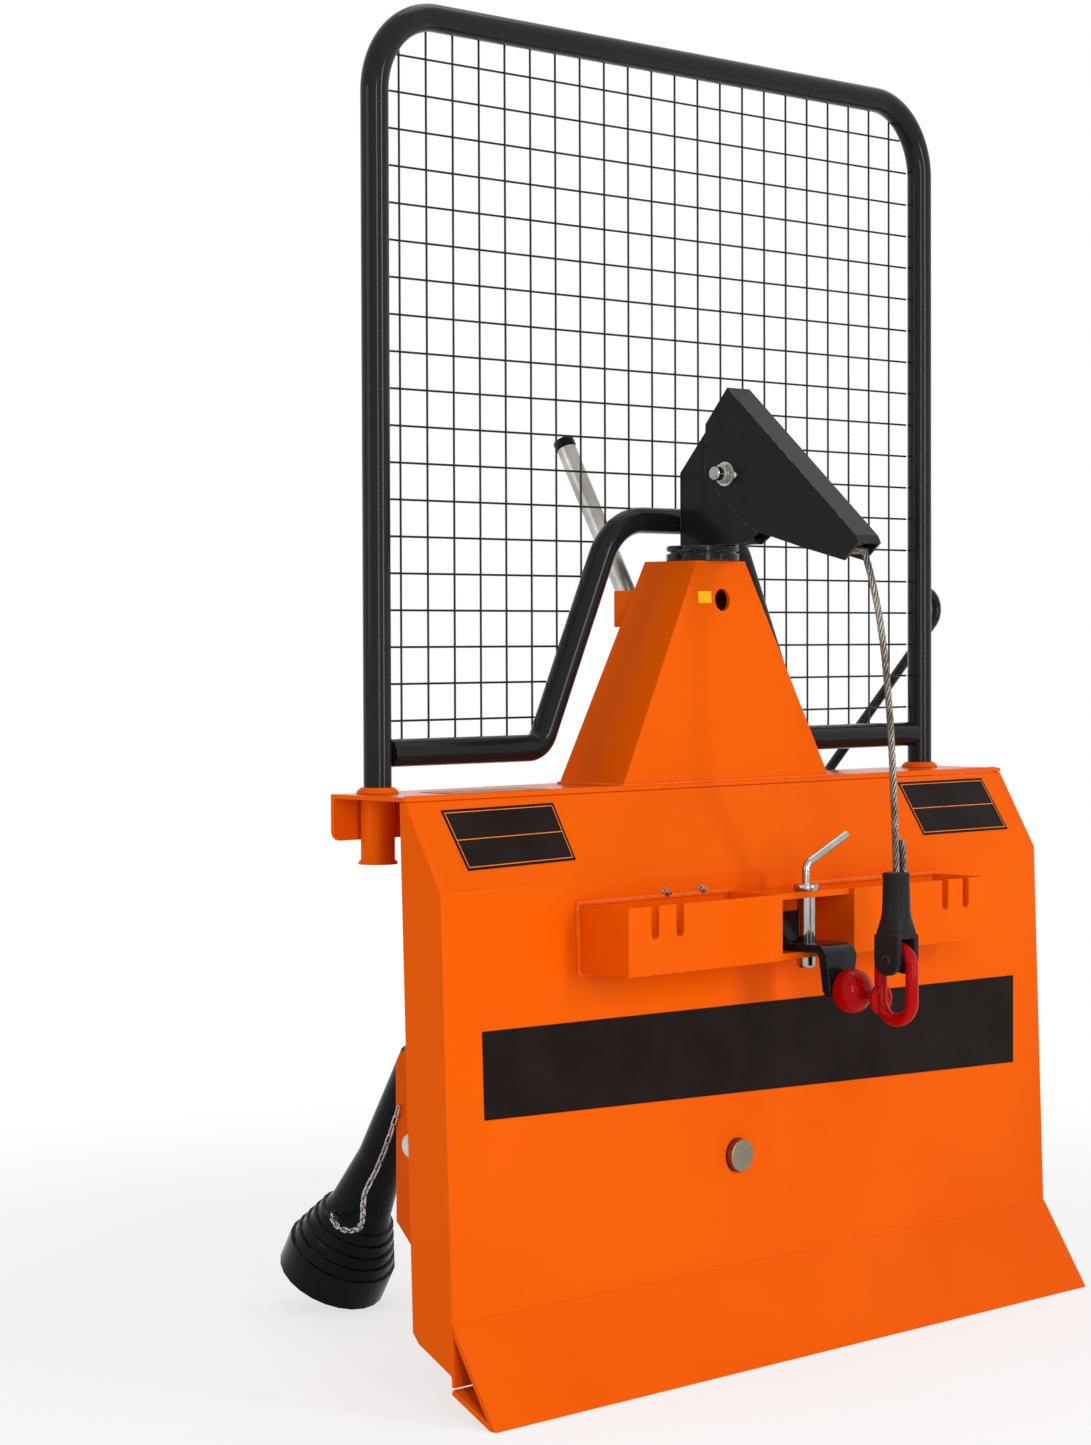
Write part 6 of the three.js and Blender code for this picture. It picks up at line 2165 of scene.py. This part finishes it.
@dataclass(frozen=True)
class Hitch(Assembly):
    """The chain bars, clevis, pin and hook."""

    shield: Shield = Shield()
    bar_z: Flat = (561.0, 654.0)
    bar_end: float = 390.0
    bar_ease: float = 1.5
    bead_out: float = 1.4
    bead_end: float = 1.5
    bead_start: float = 92.0
    bead_stop: Flat = (3.0, -4.0)
    bead_pitch: float = 4.6
    bead_drop: float = 4.2
    pin_y: float = 19.97
    pin_z: Flat = (545.0, 654.3)
    pin_radius: float = 13.5
    pin_tip: tuple[Flat, ...] = ((-3.0, 0.0), (-2.4, 0.6), (0.0, 4.0))
    collar_radius: float = 18.0
    collar_height: float = 9.0
    collar_low: tuple[Flat, ...] = ((-1.0, 0.1), (0.0, 1.2))
    collar_high: tuple[Flat, ...] = ((0.0, -1.2), (-1.2, 0.0))
    handle_radius: float = 5.8
    handle_sink: float = 2.0
    handle_z: float = 691.3
    handle_bend: float = 14.0
    handle_reach: float = 88.0
    handle_rise: float = 38.0
    hook_z: Flat = (570.3, 581.8)
    hook_front: float = -45.03
    hook_half: float = 33.0
    hook_ease: float = 1.4
    hook_bend: float = 20.0
    hook_inner_bend: float = 9.0
    hook_gap: float = 0.5
    foot_share: float = 0.72
    foot_bend: float = 14.0
    waist_bend: float = 30.0
    waist_drop: float = 8.0
    lip: float = 14.0
    lip_foot: float = 508.0
    tail_y: Flat = (43.47, 56.47)
    tail_lean: float = 16.0
    tail_top: float = 621.8

    def pin(self) -> bpy.types.Object:
        """Makes the pin with its collar and bent handle."""
        (low, high), radius, collar = self.pin_z, self.pin_radius, self.collar_radius
        top, handle = high + self.collar_height, self.handle_radius
        profile = [
            (0, low), *shifted(self.pin_tip, radius, low), (radius, high),
            *shifted(self.collar_low, collar, high), *shifted(self.collar_high, collar, top), (handle, top),
            (0, top)]
        form = Form().turned(profile, Axis.Z, (0.0, self.pin_y, 0.0))
        elbow = rounded([
            (0.0, top - self.handle_sink), (0.0, self.handle_z, self.handle_bend),
            (self.handle_reach, self.handle_z + self.handle_rise)], steps=8)
        form.tube([(x, self.pin_y, z) for x, z in elbow], handle, sides=28)
        return form.piece("hitch_pin_bar")

    def hook(self) -> bpy.types.Object:
        """Makes the forged hook: a plate under the clevis whose front curves down to a rounded lip."""
        (low, high), front, lip = self.hook_z, self.hook_front, self.lip
        (back, tail), lean, top = self.tail_y, self.tail_lean, self.tail_top
        side = rounded([
            (front, self.lip_foot), (front, high, self.hook_bend), (back, high), (back + lean, top),
            (tail + lean, top), (tail, low), (front + lip, low, self.hook_inner_bend),
            (front + lip, self.lip_foot)], steps=10)
        half, foot, waist = self.hook_half, self.hook_half * self.foot_share, low - self.waist_drop
        face = rounded([
            (-half, top + lip), (-half, waist, self.waist_bend), (-foot, self.lip_foot, self.foot_bend),
            (foot, self.lip_foot, self.foot_bend), (half, waist, self.waist_bend),
            (half, top + lip)], steps=8)
        plate = Form().prism(side, Axis.X, -half, half).piece("hook_plate")
        mould = Form().prism(face, Axis.Y, front - lip, tail + 2 * lip).piece("hook_mould")
        whole = carved(plate, mould, keep=True)
        centre, radius = (0.0, self.pin_y, 0.0), self.pin_radius + self.hook_gap
        bore = Form().rod(radius, Axis.Z, low - lip, high + lip, centre, edge=0.0)
        return carved(whole, bore.piece("hook_bore"))

    def seams(self) -> list[list[Point]]:
        """Returns the weld lines round the chain bars, on the shield's face."""
        (low, high), out, seams = self.bar_z, self.bead_out, []
        for side in (-1, 1):
            x = side * (self.bar_end + self.bead_end)
            ends = (low + self.bead_stop[0], high + self.bead_stop[1])
            seams.append([(x, self.shield.face_y(z) - out, z) for z in ends])
            for z, lift in ((high, out), (low, -out)):
                y = self.shield.face_y(z) - out
                seams.append([(side * reach, y, z + lift) for reach in (self.bead_start, self.bar_end)])
        return seams

    def build(self, dresser: Dresser) -> None:
        """Makes the hitch's pieces."""
        looks = dresser.looks
        dresser.sheet_metal("left_chain_bar", "right_chain_bar", "hitch_clevis", bevel=self.bar_ease)
        dresser.weld("bar_seams", self.seams(), self.bead_pitch, self.bead_drop)
        dresser.dress(self.pin(), looks.chrome, Body.PIN, ("hitch_pin",), smooth=45)
        dresser.dress(
            self.hook(), looks.black, Body.HOOK, ("hitch_hook",), self.hook_ease, segments=3, smooth=40)


# Drum and drive


@dataclass(frozen=True)
class Drum(Assembly):
    """The axle, drum, wound rope, sprockets and roller chain."""

    x: float = -80.0
    z: float = 281.0
    axle_ease: float = 1.4
    spool_ease: float = 1.0
    sprocket_ease: float = 0.6
    shaft_ease: float = 0.8
    bearing_ease: float = 1.2
    front_y: float = 112.0
    width: float = 140.0
    flange: float = 8.0
    core_radius: float = 60.0
    core_gap: float = 0.3
    rope_radius: float = 5.0
    rope_lay: float = 62.0
    rope_step: float = 9.0
    rope_gap: float = 0.6
    turn_gap: float = 0.3
    turn_steps: int = 40
    winding_radius: float = 74.7
    layer_sink: float = 7.0
    layer_gap: float = 0.4
    teeth: tuple[int, int] = (38, 11)
    pitch: float = 19.05
    centres: float = 179.0
    chain_y: float = 271.8
    chain_steps: tuple[int, int] = (24, 12)
    roller_radius: float = 3.2
    roller_width: float = 7.0
    plate_height: float = 6.6

    def coil(self) -> list[Point]:
        """Returns the line of the rope's outer layer, wound side by side."""
        inset = self.flange + self.rope_radius + self.rope_gap
        low, high = self.front_y + inset, self.front_y + self.width - inset
        turns = int((high - low) / (2 * self.rope_radius + self.turn_gap))
        steps, radius = self.turn_steps, self.winding_radius - self.rope_radius
        line = []
        for step in range(turns * steps + 1):
            angle = 2 * math.pi * step / steps
            y = low + (high - low) * step / (turns * steps)
            line.append((self.x + radius * math.cos(angle), y, self.z + radius * math.sin(angle)))
        return line

    def chain_line(self) -> list[Point]:
        """Returns the roller chain's line round both sprockets."""
        big, small = (self.pitch / (2 * math.sin(math.pi / count)) for count in self.teeth)
        lean = math.acos((big - small) / self.centres)
        line = []
        for radius, start, sweep, steps, z in (
            (big, lean, 2 * math.pi - 2 * lean, self.chain_steps[0], self.z),
            (small, -lean, 2 * lean, self.chain_steps[1], self.z + self.centres),
        ):
            for step in range(steps + 1):
                turn = start + sweep * step / steps + math.pi / 2
                line.append((self.x + radius * math.cos(turn), self.chain_y, z + radius * math.sin(turn)))
        return [*line, line[0]]

    def build(self, dresser: Dresser) -> None:
        """Makes the drum's pieces."""
        looks = dresser.looks
        dresser.cad_piece("drum_axle", "axle_bar", looks.steel, Body.FRAME, self.axle_ease, segments=3)
        dresser.cad_piece("drum_spool", "spool", looks.black, Body.DRUM, self.spool_ease)
        coil = dresser.rope("wound_rope", self.coil(), self.rope_radius, self.rope_lay, self.rope_step)
        dresser.dress(coil, looks.rope, Body.DRUM, ("rope_on_drum",), smooth=60)
        inner, outer = self.core_radius + self.core_gap, self.winding_radius - self.layer_sink
        inset = self.flange + self.layer_gap
        low, high = self.front_y + inset, self.front_y + self.width - inset
        profile = [(inner, low), (outer, low), (outer, high), (inner, high), (inner, low)]
        core = Form().turned(profile, Axis.Y, (self.x, 0.0, self.z), sides=64)
        dresser.dress(core.piece("inner_layers"), looks.rope, Body.DRUM)
        dresser.cad_piece(
            "drum_sprocket", "big_sprocket", looks.steel, Body.SPROCKET, self.sprocket_ease, segments=1)
        dresser.cad_piece("input_shaft", "input_bar", looks.steel, Body.INPUT, self.shaft_ease)
        dresser.cad_piece("input_bearing", "bearing_ring", looks.black, Body.FRAME, self.bearing_ease)
        line = smoothed(self.chain_line(), steps=2)
        length = line_length(line)
        chain = dresser.rollers.run(
            "roller_links", [line], looks.zinc.material, Pitch=length / round(length / self.pitch),
            Roller_radius=self.roller_radius, Roller_width=self.roller_width, Plate_height=self.plate_height)
        dresser.dress(chain, looks.zinc, Body.FRAME, ("drive_chain",), smooth=40)


# Rear frame, levers and drive shaft


@dataclass(frozen=True)
class Rear(Assembly):
    """The pieces that keep the CAD's own form behind the shield: frame, levers and parked drive shaft."""

    sheet_ease: float = 1.6
    pin_ease: float = 1.2
    lever_ease: float = 0.8
    plug_ease: float = 2.0
    shaft_ease: float = 1.2

    def build(self, dresser: Dresser) -> None:
        """Makes the rear frame, then the levers, then the drive shaft."""
        looks, dress = dresser.looks, dresser.cad_piece
        dresser.sheet_metal(
            "rear_plate", "cross_beam", "left_hitch_cheek", "right_hitch_cheek", "top_link_bracket",
            "left_leg", "right_leg", "lever_bracket", "shaft_hanger", bevel=self.sheet_ease, segments=2)
        for node in ("left_link_pin", "right_link_pin", "top_link_pin"):
            dress(node, f"{node}_bar", looks.zinc, Body.FRAME, self.pin_ease)
        dress("clutch_lever", "clutch_tube", looks.lever, Body.CLUTCH, self.lever_ease)
        dress("lever_plug", "tube_plug", looks.plastic, Body.CLUTCH, self.plug_ease, segments=3)
        dress("brake_lever", "brake_rod", looks.black, Body.BRAKE, 0.0, smooth=50)
        halves = (("upper", Body.SHAFT_UPPER), ("lower", Body.SHAFT_LOWER))
        for half, body in halves:
            dress(f"{half}_guard", f"{half}_guard_shell", looks.plastic, body, self.shaft_ease, smooth=40)
        for half, body in halves:
            dress(f"{half}_yoke", f"{half}_yoke_forging", looks.steel, body, self.shaft_ease)


def main() -> None:
    """Builds the scene: camera and cords first, then each part of the winch."""
    logging.basicConfig(level=logging.INFO, format="%(name)s: %(message)s")
    Studio().build()
    dresser = Dresser()
    for assembly in (
        RopeEnd(), SafetyChain(), Shield(), Labels(), Tower(), Guard(), Head(), Hitch(), Drum(), Rear(),
    ):
        assembly.build(dresser)


if __name__ == "__main__":
    main()
